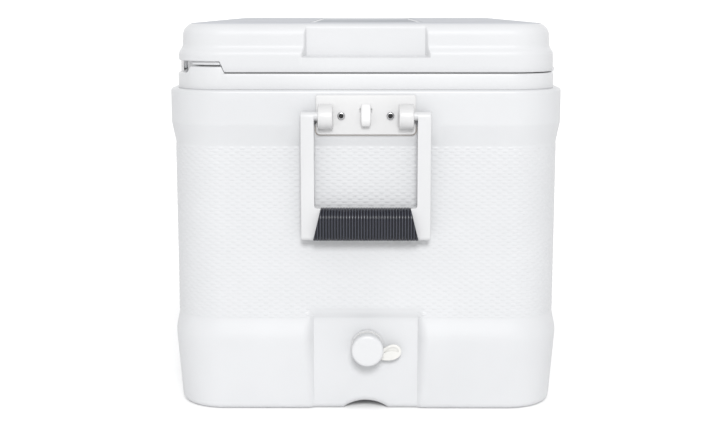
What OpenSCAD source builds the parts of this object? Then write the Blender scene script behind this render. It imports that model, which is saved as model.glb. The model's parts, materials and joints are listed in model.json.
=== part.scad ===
// Insulated cooler chest on its base: +Z up, length along X, front at -Y, hinges at +Y.
// The origin is the centre of the base on the ground. The drain is on the +X end.

/* [Chest] */
// Length of the chest over its upper band, without the handles
chest_length = 710; // [640:5:780]
// Width of the chest over its upper band
chest_width = 440; // [400:5:480]
// Plan radius of the upper band's corners
corner_radius = 60; // [54:1:66]
// Height of the seam between the shell and the collar
seam_height = 362; // [350:1:380]
// Height of the collar above the seam
collar_height = 17.6; // [16:0.2:19]
// Thickness of the moulded plastic walls
wall = 3; // [2.5:0.1:3.4]
// Height of the food compartment's floor above the ground
floor_height = 57; // [56:1:70]

/* [Lid] */
// Gap that shows between the collar and the lid
lid_gap = 1.2; // [0.8:0.1:1.6]
// Height of the lid above the gap
lid_height = 53.2; // [50:0.1:58]
// Depth that the lid's plug reaches down into the chest
plug_depth = 10; // [6:0.5:14]

/* [Handles] */
// Height of the handle pivots above the ground
pivot_height = 334.5; // [332:0.5:336]
// Width over the two handle arms at the pivots
bail_width = 142; // [138:1:146]
// Distance from a handle's pivots down to its lowest edge
bail_drop = 136.5; // [130:0.5:150]
// Width of the grip along its upper edge
grip_top_width = 98; // [90:1:100]
// Width of the grip along its lower edge
grip_bottom_width = 116; // [110:1:116]

/* [Drain] */
// Height of the drain's centre above the ground
drain_height = 74; // [73.5:0.5:76]
// Outer diameter of the drain cap
cap_diameter = 35; // [34:0.5:38]
// Diameter of the fitting's outer thread, a garden hose size
spout_diameter = 26.3; // [26:0.1:27]

/* [Hardware] */
// Distance of the two latches from the middle of the chest
latch_offset = 190; // [170:5:210]
// Distance of the two outer hinges from the middle hinge
hinge_offset = 215; // [190:5:230]
// Diameter of the hinge pins
hinge_pin_diameter = 4; // [3.6:0.2:4.2]

/* [Hidden] */
$fn = 64;

// Clearances
snug = 0.2;
running = 0.05;
screw_clear = 0.1;

// Corner axes of the outer surfaces, and of the food compartment
axis_x = chest_length / 2 - corner_radius;
axis_y = chest_width / 2 - corner_radius;
tub_axis_x = axis_x - 15;
tub_axis_y = axis_y - 15;

// Levels of the shell's bands
band_bottom = seam_height - 38;
panel_top = band_bottom - 23;
panel_bottom = 106;
base_top = 85;
base_fillet = 14;

// Distances of the walls from the outer corner axes
band_r = corner_radius;
panel_r = corner_radius - 4.5;
base_bottom_r = corner_radius - 6;
collar_r = corner_radius - 8.5;
skirt_r = corner_radius - 9.5;
lid_top_r = corner_radius - 14.5;

// Distances of the food compartment's walls from its own corner axes
tub_floor_r = 27;
tub_rim_r = 33;

// Levels of the collar and the lid
rim_top = seam_height + collar_height;
lid_bottom = rim_top + lid_gap;
lid_top = lid_bottom + lid_height;
lid_crease = lid_bottom + 22;
lid_edge = 14;
plug_bottom = rim_top - plug_depth;
plug_r = tub_rim_r - 1.8;

// Finger notches at the lid's front corners, and the risers that stand in them
notch_top = lid_bottom + 12;
notch_start = axis_y - 6;
notch_reach = 42;
notch_inner_r = collar_r - 11;
riser_height = 7.4;

// Recess in each end of the lid
lid_recess_depth = 4.5;
lid_recess_half = 65;
lid_recess_flare = 7;
lid_recess_bottom = lid_bottom + 17;

// End features
end_face = chest_length / 2;
boss_half = 85;
recess_depth = 8.5;
recess_floor_half = 58.5;
arch_half = 26;
arch_height = 8.5;
arch_radius = (arch_half * arch_half + arch_height * arch_height) / (2 * arch_height);

// Handles: distances along X are from the end face
plate_half = 54.5;
plate_thick = 3.5;
plate_bottom = pivot_height - 20.5;
plate_top = pivot_height + 22.5;
plate_corner = 8;
pivot_x = end_face + 8;
barrel_r = 11;
barrel_inner = 36;
barrel_width = 16;
pivot_r = 5;
arm_width = 15;
arm_thick = 12;
arm_taper = 1.5;
grip_height = 36;
grip_back = end_face - 0.5;
grip_front = end_face + 21;
grip_round = 8;
core_thick = 8;
core_height = 18;
bracket_screw_y = 26.8;
bracket_screw_length = 20;
anchor_half = 40;

// Drain
recess_floor_x = end_face - recess_depth;
drain_y = 2;
drain_bore_r = 8;
drain_tube_r = 11;
washer_thick = 1.5;
flange_r = 18.5;
flange_thick = 3;
spout_r = spout_diameter / 2;
spout_front = end_face + 11;
cap_back = recess_floor_x + washer_thick + flange_thick + 1.8;
cap_front = end_face + 17;
drain_seat_x = tub_axis_x + tub_floor_r + 0.3;
drain_seat_r = 16.8;
nut_r = 15.6;
nut_thick = 6;
cap_wall = 3.2;

// Hinges
hinge_y = chest_width / 2 - 4;
hinge_z = lid_bottom - lid_gap / 2;
knuckle_r = 4;
pin_r = hinge_pin_diameter / 2;
hinge_width = 60;
lid_knuckle = 22;
knuckle_gap = 0.5;
leaf_thick = 1.8;
hinge_screw_x = 20;
small_screw_r = 1.6;
small_head_r = 3.2;

// Latches
latch_width = 60;
latch_pin_y = -(chest_width / 2 - 4);
latch_pin_z = lid_bottom + 15.2;
latch_pin_r = 1.5;
latch_barrel_r = 3.1;
ear_thick = 5;
latch_head_r = 2.8;
lever_bottom = seam_height - 14;
pocket_half = 36;
pocket_bottom = seam_height - 22;
keeper_half = 25;
keeper_thick = 1.2;
keeper_nose = 3;
latch_screw_x = 24;
latch_screw_z = lid_bottom + 7.5;
keeper_screw_x = 19;
keeper_screw_z = pocket_bottom + 6;

// Points of a quarter round from angle a0 to a1 about (cx, cz)
function arc(cx, cz, r, a0, a1, steps = 5) =
    [for (i = [0 : steps]) let (a = a0 + (a1 - a0) * i / steps) [cx + r * cos(a), cz + r * sin(a)]];

// Outlines, as [distance from the corner axis, height], from the bottom up
function shell_outline(inset) = concat(
    arc(base_bottom_r - base_fillet, base_fillet, base_fillet - inset, -90, 0),
    [[band_r - inset, base_top], [panel_r - inset, panel_bottom], [panel_r - inset, panel_top],
     [band_r - inset, band_bottom]],
    inset > 0 ? [[band_r - inset, seam_height - inset]]
              : arc(band_r - 4, seam_height - 4, 4, 0, 90, 3));
function tub_outline(inset, bottom, top) = [
    [tub_floor_r - 10 - inset, bottom], [tub_floor_r - inset, bottom + 10],
    [tub_rim_r - inset, top]];
function lid_outline(inset) = concat(
    [[skirt_r - 1 - inset, lid_bottom], [skirt_r - inset, lid_bottom + 1.5],
     [skirt_r - inset, lid_crease], [lid_top_r + 0.5 - inset, lid_crease + 4]],
    arc(lid_top_r - lid_edge, lid_top - lid_edge, lid_edge - inset, 0, 90));

function wide(outline, half) = concat(
    [for (p = outline) [half + p[0], p[1]]],
    [for (i = [len(outline) - 1 : -1 : 0]) [-half - outline[i][0], outline[i][1]]]);
function to_axis(outline) = concat([[0, outline[0][1]]], outline, [[0, outline[len(outline) - 1][1]]]);

// A solid whose outline is carried round a rectangular plan with round corners
module swept_block(outline, half_x, half_y) {
    rotate([90, 0, 0])
        linear_extrude(height = 2 * half_y, center = true)
            polygon(wide(outline, half_x));
    rotate([90, 0, 90])
        linear_extrude(height = 2 * half_x, center = true)
            polygon(wide(outline, half_y));
    for (corner = [[1, 1, 0], [-1, 1, 90], [-1, -1, 180], [1, -1, 270]])
        translate([corner[0] * half_x, corner[1] * half_y, 0])
            rotate([0, 0, corner[2]])
                rotate_extrude(angle = 90)
                    polygon(to_axis(outline));
}

module outer_block(outline) {
    swept_block(outline, axis_x, axis_y);
}

module tub_block(outline) {
    swept_block(outline, tub_axis_x, tub_axis_y);
}

// A box between two corners
module box(low, high) {
    translate(low)
        cube(high - low);
}

// A cylinder along X, from x0 to x1
module rod_x(x0, x1, r, y, z) {
    translate([x0, y, z])
        rotate([0, 90, 0])
            cylinder(r = r, h = x1 - x0);
}

// A cylinder along Y, from y0 to y1
module rod_y(y0, y1, r, x, z) {
    translate([x, y1, z])
        rotate([90, 0, 0])
            cylinder(r = r, h = y1 - y0);
}

module at_both_ends() {
    children();
    mirror([1, 0, 0])
        children();
}

// ---- Body ----

// The drain recess in the +X end, made larger by grow on its inner faces
module drain_recess(grow) {
    floor_x = recess_floor_x - grow;
    out = 14;
    intersection() {
        translate([0, 0, -1])
            linear_extrude(height = 140)
                polygon([[floor_x, -recess_floor_half - grow], [floor_x, recess_floor_half + grow],
                    [floor_x + out, recess_floor_half + grow + out],
                    [floor_x + out, -recess_floor_half - grow - out]]);
        rotate([90, 0, 0])
            linear_extrude(height = 300, center = true)
                polygon([[floor_x, -1], [floor_x, panel_bottom + grow],
                    [floor_x + out, panel_bottom + grow + 2.4 * out], [floor_x + out, -1]]);
    }
}

// The shallow groove under the middle of the base
module base_groove(grow) {
    rod_x(-chest_length, chest_length, arch_radius + grow, 0, arch_height - arch_radius);
}

module latch_pockets(grow) {
    for (side = [-1, 1])
        box([side * latch_offset - pocket_half - grow, -chest_width / 2 - 5, pocket_bottom - grow],
            [side * latch_offset + pocket_half + grow, -axis_y - collar_r + grow, seam_height + 1]);
}

// The round flat seat for the drain's nut, in the food compartment's end wall
module drain_seat(grow) {
    rod_x(tub_axis_x + 10, drain_seat_x + grow, drain_seat_r + grow, drain_y, drain_height);
}

module drain_hole(r) {
    rod_x(tub_axis_x, end_face + 20, r, drain_y, drain_height);
}

module bracket_screw_shanks(r) {
    at_both_ends()
        for (side = [-1, 1])
            rod_x(end_face + plate_thick - bracket_screw_length, end_face + plate_thick,
                r, side * bracket_screw_y, pivot_height);
}

// The space between the shell's outer skin and its inner face
module shell_cavity(inset) {
    difference() {
        outer_block(shell_outline(inset));
        drain_recess(inset);
        base_groove(inset);
        latch_pockets(inset);
    }
}

module outer_shell() {
    color([0.95, 0.955, 0.96])
        difference() {
            union() {
                difference() {
                    outer_block(shell_outline(0));
                    drain_recess(0);
                    base_groove(0);
                    latch_pockets(0);
                }
                at_both_ends()
                    rotate([90, 0, 0])
                        linear_extrude(height = 2 * boss_half, center = true)
                            polygon([[end_face - 4, seam_height - 4], [end_face, seam_height - 4],
                                [end_face, panel_top + 7], [end_face - 4.5, panel_top],
                                [end_face - 6, panel_top]]);
            }
            shell_cavity(wall);
            tub_block([[tub_rim_r + wall + snug, seam_height - 2 * wall],
                [tub_rim_r + wall + snug, seam_height + 1]]);
            drain_hole(drain_tube_r + snug);
            bracket_screw_shanks(2 + screw_clear);
            keeper_screw_shanks(small_screw_r + screw_clear);
        }
}

module inner_liner() {
    color([0.93, 0.94, 0.95])
        difference() {
            union() {
                difference() {
                    union() {
                        outer_block([[collar_r, seam_height], [collar_r, rim_top - 2.5],
                            [collar_r - 0.8, rim_top - 0.8], [collar_r - 2.5, rim_top]]);
                        corner_risers();
                    }
                    outer_block([[collar_r - wall, seam_height - 1],
                        [collar_r - wall, rim_top - wall]]);
                    hinge_body_screw_shanks(small_screw_r + screw_clear);
                }
                tub_block(tub_outline(-wall, floor_height - wall, rim_top));
                drain_seat(wall);
            }
            tub_block(tub_outline(0, floor_height, rim_top + 0.01));
            drain_seat(0);
            box([-tub_axis_x - 20, -tub_axis_y - 20, rim_top], [tub_axis_x + 20, tub_axis_y + 20, rim_top + 1]);
            drain_hole(drain_tube_r + snug);
        }
}

// The two raised corners of the collar, which stand in the lid's finger notches
module corner_risers() {
    at_both_ends()
        difference() {
            intersection() {
                outer_block([[collar_r - 0.6, rim_top - wall], [collar_r - 0.6, rim_top + riser_height - 2],
                    [collar_r - 2.6, rim_top + riser_height]]);
                translate([axis_x, -axis_y, rim_top - wall])
                    linear_extrude(height = riser_height + wall)
                        polygon([[24, 3], [80, 3], [80, -3], [50, -50], [28, -28]]);
            }
            outer_block([[collar_r - 10.4, rim_top - 1], [collar_r - 10.4, rim_top + riser_height + 1]]);
        }
}

module body_foam() {
    color([0.93, 0.88, 0.62])
        difference() {
            shell_cavity(wall + snug);
            tub_block(tub_outline(-wall - snug, floor_height - wall - snug, seam_height + 1));
            drain_seat(wall + snug);
            box([-chest_length, -chest_width, seam_height - wall - snug],
                [chest_length, chest_width, seam_height + 1]);
            drain_hole(drain_tube_r + snug);
            bracket_screw_shanks(2 + screw_clear + snug);
            keeper_screw_shanks(small_screw_r + screw_clear + snug);
            handle_anchor_blocks(snug);
        }
}

module handle_anchor_blocks(grow) {
    at_both_ends()
        box([end_face - wall - 13 - grow, -anchor_half - grow, band_bottom + 1 - grow],
            [end_face - wall - snug, anchor_half + grow, seam_height - 10 + grow]);
}

// Backing blocks in the foam that hold the bracket screws
module handle_anchors() {
    color([0.75, 0.76, 0.78])
        difference() {
            handle_anchor_blocks(0);
            bracket_screw_shanks(2 + screw_clear / 2);
        }
}

// ---- Handles ----

module handle_bracket(side) {
    color([0.97, 0.97, 0.975])
        scale_side(side)
            difference() {
                union() {
                    translate([end_face, 0, 0])
                        rotate([90, 0, 90])
                            linear_extrude(height = plate_thick)
                                plate_outline();
                    for (hand = [-1, 1])
                        handle_barrel(hand);
                    bracket_tongue();
                }
                for (hand = [-1, 1]) {
                    y_low = barrel_low_y(hand);
                    rod_y(y_low - 4, y_low + barrel_width + 4, pivot_r + running, pivot_x, pivot_height);
                    rod_x(end_face - 1, end_face + plate_thick + 1, 2 + screw_clear,
                        hand * bracket_screw_y, pivot_height);
                }
            }
}

module scale_side(side) {
    if (side > 0)
        children();
    else
        mirror([1, 0, 0])
            children();
}

// The plate seen along X: square at the top, with round lower corners
module plate_outline() {
    union() {
        translate([-plate_half, plate_bottom + plate_corner])
            square([2 * plate_half, plate_top - plate_bottom - plate_corner]);
        translate([-plate_half + plate_corner, plate_bottom])
            square([2 * (plate_half - plate_corner), plate_corner + 1]);
        for (hand = [-1, 1])
            translate([hand * (plate_half - plate_corner), plate_bottom + plate_corner])
                circle(r = plate_corner);
    }
}

function barrel_low_y(hand) = hand > 0 ? barrel_inner : -barrel_inner - barrel_width;

// One of the two barrels that hold the handle's pivots, joined back to the plate
module handle_barrel(hand) {
    y_low = barrel_low_y(hand);
    intersection() {
        rod_y(y_low, y_low + barrel_width, barrel_r, pivot_x, pivot_height);
        box([end_face, -bail_width, base_top], [chest_length, bail_width, lid_top]);
    }
    box([end_face, y_low, pivot_height - 9], [pivot_x, y_low + barrel_width, pivot_height + barrel_r]);
}

// The short tongue between the two screws
module bracket_tongue() {
    half = 6.5;
    translate([0, half, 0])
        rotate([90, 0, 0])
            linear_extrude(height = 2 * half)
                polygon(concat([[end_face, pivot_height + 11]],
                    arc(end_face + 5, pivot_height + 4, 7, 60, -40),
                    [[end_face + plate_thick, pivot_height - 12], [end_face, pivot_height - 12]]));
}

module bracket_screws(side) {
    head_r = 4;
    color([0.62, 0.63, 0.65])
        scale_side(side)
            for (hand = [-1, 1])
                translate([end_face + plate_thick, hand * bracket_screw_y, pivot_height])
                    rotate([0, 90, 0]) {
                        translate([0, 0, -bracket_screw_length + 1])
                            cylinder(r = 2, h = bracket_screw_length);
                        rotate_extrude()
                            polygon(concat([[0, 0], [head_r, 0], [head_r, 1]],
                                arc(head_r - 1.6, 1, 1.6, 0, 90, 3), [[0, 2.6]]));
                    }
}

// The bail seen along X
module bail_outline() {
    half = bail_width / 2;
    low_half = half - arm_taper;
    bottom = pivot_height - bail_drop;
    corner = 6;
    difference() {
        polygon([[-half, pivot_height], [-low_half, bottom + corner], [-low_half + 2, bottom + 2],
            [-low_half + corner, bottom], [low_half - corner, bottom], [low_half - 2, bottom + 2],
            [low_half, bottom + corner], [half, pivot_height]]);
        polygon([[-half + arm_width, pivot_height + 1], [-low_half + arm_width, bottom + grip_height + 10],
            [-grip_top_width / 2, bottom + grip_height], [grip_top_width / 2, bottom + grip_height],
            [low_half - arm_width, bottom + grip_height + 10], [half - arm_width, pivot_height + 1]]);
        grip_outline(0.15);
    }
}

// The grip seen along X: wider at its lower edge
module grip_outline(grow) {
    bottom = pivot_height - bail_drop;
    polygon([[-grip_bottom_width / 2 - grow, bottom - 1], [-grip_bottom_width / 2 - grow, bottom],
        [-grip_top_width / 2 - grow, bottom + grip_height + 0.01],
        [grip_top_width / 2 + grow, bottom + grip_height + 0.01],
        [grip_bottom_width / 2 + grow, bottom], [grip_bottom_width / 2 + grow, bottom - 1]]);
}

module handle_bail(side) {
    half = bail_width / 2;
    core_mid = pivot_height - bail_drop + grip_height / 2;
    color([0.96, 0.96, 0.965])
        scale_side(side) {
            translate([pivot_x - arm_thick / 2, 0, 0])
                rotate([90, 0, 90])
                    linear_extrude(height = arm_thick)
                        bail_outline();
            for (hand = [-1, 1]) {
                y_arm = hand > 0 ? half - arm_width : -half;
                rod_y(y_arm, y_arm + arm_width, arm_thick / 2, pivot_x, pivot_height);
                y_pin = hand > 0 ? barrel_inner + 0.5 : -half + arm_width - 1;
                rod_y(y_pin, y_pin + half - arm_width + 0.5 - barrel_inner, pivot_r, pivot_x, pivot_height);
            }
            box([pivot_x - core_thick / 2, -grip_top_width / 2 - 6, core_mid - core_height / 2],
                [pivot_x + core_thick / 2, grip_top_width / 2 + 6, core_mid + core_height / 2]);
        }
}

// Section of the grip across Y: flat at the back, round in front
module grip_section() {
    bottom = pivot_height - bail_drop;
    top = bottom + grip_height;
    polygon(concat(
        arc(grip_back + 4, bottom + 4, 4, 180, 270, 4),
        arc(grip_front - grip_round, bottom + grip_round, grip_round, 270, 360, 6),
        arc(grip_front - 12, top - 12, 12, 0, 90, 6),
        arc(grip_back + 6, top - 6, 6, 90, 180, 4)));
}

module handle_grip(side) {
    core_mid = pivot_height - bail_drop + grip_height / 2;
    color([0.16, 0.17, 0.21])
        scale_side(side)
            difference() {
                intersection() {
                    rotate([90, 0, 0])
                        linear_extrude(height = grip_bottom_width + 10, center = true)
                            grip_section();
                    translate([end_face - 20, 0, 0])
                        rotate([90, 0, 90])
                            linear_extrude(height = 60)
                                grip_outline(0);
                }
                box([pivot_x - core_thick / 2 - 0.1, -grip_bottom_width, core_mid - core_height / 2 - 0.1],
                    [pivot_x + core_thick / 2 + 0.1, grip_bottom_width, core_mid + core_height / 2 + 0.1]);
            }
}

// ---- Lid ----

// The finger notches, cut from the outside in to inner_r
module lid_notches(inner_r, grow) {
    at_both_ends()
        difference() {
            intersection() {
                box([axis_x - notch_reach - grow, -chest_width / 2, lid_bottom - 1],
                    [chest_length / 2, -notch_start + grow, notch_top + grow]);
                outer_block([[skirt_r + 3, lid_bottom - 2], [skirt_r + 3, notch_top + 10]]);
            }
            outer_block([[inner_r, lid_bottom - 3], [inner_r, notch_top + 11]]);
        }
}

// The wide shallow recess in each end of the lid
module lid_end_recess(grow) {
    face = axis_x + lid_top_r;
    floor_x = face - lid_recess_depth - grow;
    half = lid_recess_half + grow;
    at_both_ends()
        translate([0, 0, lid_recess_bottom - grow])
            linear_extrude(height = lid_height)
                polygon([[floor_x, -half], [floor_x, half],
                    [face + 8, half + lid_recess_flare], [face + 8, -half - lid_recess_flare]]);
}

module lid_skin(inset) {
    difference() {
        outer_block(lid_outline(inset));
        lid_notches(notch_inner_r - inset, inset);
        lid_end_recess(inset);
    }
}

module lid_shell() {
    color([0.96, 0.965, 0.97])
        difference() {
            lid_skin(0);
            intersection() {
                lid_skin(wall);
                box([-chest_length, -chest_width, lid_bottom - 1],
                    [chest_length, chest_width, lid_top - wall]);
            }
            outer_block([[notch_inner_r - wall, lid_bottom - 1], [notch_inner_r - wall, lid_bottom + wall]]);
            hinge_lid_screw_shanks(small_screw_r + screw_clear);
            latch_bracket_screw_shanks(small_screw_r + screw_clear);
        }
}

module lid_liner() {
    color([0.93, 0.94, 0.95])
        difference() {
            union() {
                outer_block([[notch_inner_r - wall - snug, lid_bottom],
                    [notch_inner_r - wall - snug, lid_bottom + wall]]);
                tub_block([[plug_r - 4, plug_bottom], [plug_r, plug_bottom + 4], [plug_r, lid_bottom + 1]]);
            }
            tub_block([[plug_r - wall - 3, plug_bottom + wall], [plug_r - wall, plug_bottom + wall + 3],
                [plug_r - wall, lid_bottom + wall + 1]]);
        }
}

module lid_foam() {
    color([0.93, 0.88, 0.62])
        difference() {
            union() {
                intersection() {
                    lid_skin(wall + snug);
                    box([-chest_length, -chest_width, lid_bottom + wall + snug],
                        [chest_length, chest_width, lid_top - wall - snug]);
                }
                tub_block([[plug_r - wall - 3 - snug, plug_bottom + wall + snug],
                    [plug_r - wall - snug, plug_bottom + wall + 3 + snug],
                    [plug_r - wall - snug, lid_bottom + wall + 1]]);
            }
            hinge_lid_screw_shanks(small_screw_r + screw_clear + snug);
            latch_bracket_screw_shanks(small_screw_r + screw_clear + snug);
        }
}

// ---- Hinges ----

module each_hinge() {
    for (i = [-1 : 1])
        translate([i * hinge_offset, 0, 0])
            children();
}

module hinge_leaf_plate(y_face, z_low, z_high) {
    box([-hinge_width / 2, y_face, z_low], [hinge_width / 2, y_face + leaf_thick, z_high]);
}

module hinge_body_leaves() {
    wall_y = axis_y + collar_r;
    outer_knuckle = (hinge_width - lid_knuckle) / 2 - knuckle_gap;
    color([0.78, 0.79, 0.8])
        each_hinge()
            difference() {
                union() {
                    hinge_leaf_plate(wall_y, seam_height + 1.2, hinge_z - knuckle_r - 0.6);
                    for (side = [-1, 1]) {
                        x_low = side > 0 ? hinge_width / 2 - outer_knuckle : -hinge_width / 2;
                        rod_x(x_low, x_low + outer_knuckle, knuckle_r, hinge_y, hinge_z);
                        box([x_low, wall_y, hinge_z - knuckle_r - 1],
                            [x_low + outer_knuckle, wall_y + leaf_thick, hinge_z - 0.6]);
                    }
                }
                rod_x(-hinge_width, hinge_width, pin_r + running, hinge_y, hinge_z);
                for (side = [-1, 1])
                    rod_y(wall_y - 1, wall_y + 5, small_screw_r + screw_clear,
                        side * hinge_screw_x, hinge_screw_body_z());
            }
}

module hinge_lid_leaves() {
    wall_y = axis_y + skirt_r;
    color([0.78, 0.79, 0.8])
        each_hinge()
            difference() {
                union() {
                    hinge_leaf_plate(wall_y, hinge_z + knuckle_r + 1.4, lid_crease - 1);
                    rod_x(-lid_knuckle / 2, lid_knuckle / 2, knuckle_r, hinge_y, hinge_z);
                    box([-lid_knuckle / 2, wall_y, hinge_z + 1],
                        [lid_knuckle / 2, wall_y + leaf_thick + 1, hinge_z + knuckle_r + 2]);
                }
                rod_x(-hinge_width, hinge_width, pin_r + running, hinge_y, hinge_z);
                for (side = [-1, 1])
                    rod_y(wall_y - 1, wall_y + 5, small_screw_r + screw_clear,
                        side * hinge_screw_x, hinge_screw_lid_z());
            }
}

module hinge_pins() {
    color([0.7, 0.71, 0.72])
        each_hinge()
            rod_x(-hinge_width / 2 - 0.5, hinge_width / 2 + 0.5, pin_r, hinge_y, hinge_z);
}

function hinge_screw_body_z() = seam_height + 7.2;
function hinge_screw_lid_z() = lid_crease - 8;

module hinge_body_screw_shanks(r) {
    each_hinge()
        for (side = [-1, 1])
            rod_y(axis_y + collar_r - 9, axis_y + collar_r + 1, r, side * hinge_screw_x, hinge_screw_body_z());
}

module hinge_lid_screw_shanks(r) {
    each_hinge()
        for (side = [-1, 1])
            rod_y(axis_y + skirt_r - 9, axis_y + skirt_r + 1, r, side * hinge_screw_x, hinge_screw_lid_z());
}

module hinge_screw_heads(wall_y, z) {
    each_hinge()
        for (side = [-1, 1])
            rod_y(wall_y + leaf_thick, wall_y + leaf_thick + 1.8, small_head_r, side * hinge_screw_x, z);
}

module hinge_body_screws() {
    color([0.7, 0.71, 0.72]) {
        hinge_body_screw_shanks(small_screw_r);
        each_hinge()
            for (side = [-1, 1])
                rod_y(axis_y + collar_r, axis_y + collar_r + leaf_thick + 0.5, small_screw_r,
                    side * hinge_screw_x, hinge_screw_body_z());
        hinge_screw_heads(axis_y + collar_r, hinge_screw_body_z());
    }
}

module hinge_lid_screws() {
    color([0.7, 0.71, 0.72]) {
        hinge_lid_screw_shanks(small_screw_r);
        each_hinge()
            for (side = [-1, 1])
                rod_y(axis_y + skirt_r, axis_y + skirt_r + leaf_thick + 0.5, small_screw_r,
                    side * hinge_screw_x, hinge_screw_lid_z());
        hinge_screw_heads(axis_y + skirt_r, hinge_screw_lid_z());
    }
}

// ---- Latches ----

module each_latch() {
    for (side = [-1, 1])
        translate([side * latch_offset, 0, 0])
            children();
}

module latch_brackets() {
    face = -axis_y - skirt_r;
    color([0.95, 0.955, 0.96])
        each_latch()
            difference() {
                union() {
                    box([-latch_width / 2 - ear_thick - 3, face - 2, lid_bottom + 3],
                        [latch_width / 2 + ear_thick + 3, face, lid_crease - 1]);
                    for (side = [-1, 1]) {
                        x_low = side > 0 ? latch_width / 2 + 0.5 : -latch_width / 2 - 0.5 - ear_thick;
                        rod_x(x_low, x_low + ear_thick, 3.6, latch_pin_y, latch_pin_z);
                        box([x_low, latch_pin_y, latch_pin_z - 3.6],
                            [x_low + ear_thick, face, latch_pin_z + 3.6]);
                    }
                }
                rod_x(-latch_width, latch_width, latch_pin_r + running, latch_pin_y, latch_pin_z);
                latch_screw_holes(small_screw_r + screw_clear, face - 5, face + 1);
            }
}

module latch_screw_holes(r, y0, y1) {
    for (side = [-1, 1])
        rod_y(y0, y1, r, side * latch_screw_x, latch_screw_z);
}

module latch_bracket_screw_shanks(r) {
    each_latch()
        latch_screw_holes(r, -axis_y - skirt_r - 1, -axis_y - skirt_r + 9);
}

module latch_bracket_screws() {
    face = -axis_y - skirt_r;
    color([0.7, 0.71, 0.72])
        each_latch()
            for (side = [-1, 1]) {
                rod_y(face - 2.5, face + 9, small_screw_r, side * latch_screw_x, latch_screw_z);
                rod_y(face - 3.4, face - 2, latch_head_r, side * latch_screw_x, latch_screw_z);
            }
}

// A lever that hangs from its pin and hooks under the keeper
module latch_lever(side) {
    front = latch_pin_y - latch_barrel_r;
    hook_top = seam_height - 6.8;
    color([0.96, 0.965, 0.97])
        translate([side * latch_offset, 0, 0])
            difference() {
                union() {
                    rod_x(-latch_width / 2, latch_width / 2, latch_barrel_r, latch_pin_y, latch_pin_z);
                    rotate([90, 0, 90])
                        linear_extrude(height = latch_width, center = true)
                            polygon([[front, latch_pin_z], [front - 0.7, lever_bottom + 2],
                                [front - 0.4, lever_bottom], [front + 3, lever_bottom],
                                [front + 4.2, hook_top - 4], [front + 4.2, hook_top],
                                [front + 3, hook_top], [front + 3, latch_pin_z]]);
                }
                rod_x(-latch_width, latch_width, latch_pin_r + running, latch_pin_y, latch_pin_z);
            }
}

module latch_pins() {
    color([0.7, 0.71, 0.72])
        each_latch()
            rod_x(-latch_width / 2 - ear_thick - 1, latch_width / 2 + ear_thick + 1,
                latch_pin_r, latch_pin_y, latch_pin_z);
}

module latch_keepers() {
    face = -axis_y - collar_r;
    color([0.95, 0.955, 0.96])
        each_latch()
            difference() {
                rotate([90, 0, 90])
                    linear_extrude(height = 2 * keeper_half, center = true)
                        polygon([[face, pocket_bottom + 2], [face - keeper_thick, pocket_bottom + 2],
                            [face - keeper_thick, seam_height - 6.5], [face - keeper_nose, seam_height - 6.5],
                            [face - keeper_nose, seam_height - 4], [face - keeper_thick, seam_height - 1],
                            [face, seam_height - 1]]);
                for (side = [-1, 1])
                    rod_y(face - 5, face + 1, small_screw_r + screw_clear, side * keeper_screw_x, keeper_screw_z);
            }
}

module keeper_screw_shanks(r) {
    face = -axis_y - collar_r;
    each_latch()
        for (side = [-1, 1])
            rod_y(face - 1, face + 9, r, side * keeper_screw_x, keeper_screw_z);
}

module latch_keeper_screws() {
    face = -axis_y - collar_r;
    color([0.7, 0.71, 0.72])
        each_latch()
            for (side = [-1, 1]) {
                rod_y(face - 2, face + 8, small_screw_r, side * keeper_screw_x, keeper_screw_z);
                rod_y(face - keeper_thick - 1.4, face - keeper_thick, latch_head_r,
                    side * keeper_screw_x, keeper_screw_z);
            }
}

// ---- Drain ----

module on_drain_axis() {
    translate([0, drain_y, drain_height])
        rotate([0, 90, 0])
            children();
}

module drain_washer() {
    color([0.2, 0.2, 0.21])
        on_drain_axis()
            translate([0, 0, recess_floor_x])
                difference() {
                    cylinder(r = flange_r - 1, h = washer_thick);
                    translate([0, 0, -1])
                        cylinder(r = drain_tube_r + snug, h = washer_thick + 2);
                }
}

module drain_fitting() {
    flange_back = recess_floor_x + washer_thick;
    color([0.93, 0.94, 0.95])
        on_drain_axis()
            difference() {
                union() {
                    translate([0, 0, drain_seat_x - nut_thick - 1.5])
                        cylinder(r = drain_tube_r, h = flange_back + nut_thick + 2 - drain_seat_x);
                    translate([0, 0, flange_back])
                        cylinder(r = flange_r, h = flange_thick);
                    translate([0, 0, flange_back])
                        cylinder(r = spout_r, h = spout_front - flange_back);
                }
                translate([0, 0, tub_axis_x])
                    cylinder(r = drain_bore_r, h = 200);
            }
}

module drain_nut() {
    color([0.9, 0.91, 0.92])
        on_drain_axis()
            translate([0, 0, drain_seat_x - nut_thick - 0.3])
                difference() {
                    cylinder(r = nut_r, h = nut_thick, $fn = 6);
                    translate([0, 0, -1])
                        cylinder(r = drain_tube_r + running, h = 8);
                }
}

module drain_cap() {
    cap_r = cap_diameter / 2;
    color([0.96, 0.965, 0.97])
        on_drain_axis()
            difference() {
                rotate_extrude()
                    polygon(concat([[0, cap_back], [cap_r - 2.4, cap_back], [cap_r - 2.4, cap_back + 2.2],
                        [cap_r, cap_back + 3]],
                        arc(cap_r - 3, cap_front - 3, 3, 0, 90), [[0, cap_front]]));
                translate([0, 0, cap_back - 1])
                    cylinder(r = spout_r + running, h = cap_front - cap_wall - cap_back + 1);
            }
}

module cap_seal() {
    seal_thick = 1.5;
    color([0.2, 0.2, 0.21])
        on_drain_axis()
            translate([0, 0, cap_front - cap_wall - seal_thick])
                difference() {
                    cylinder(r = spout_r - 0.3, h = seal_thick);
                    translate([0, 0, -1])
                        cylinder(r = drain_bore_r, h = seal_thick + 2);
                }
}

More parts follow.
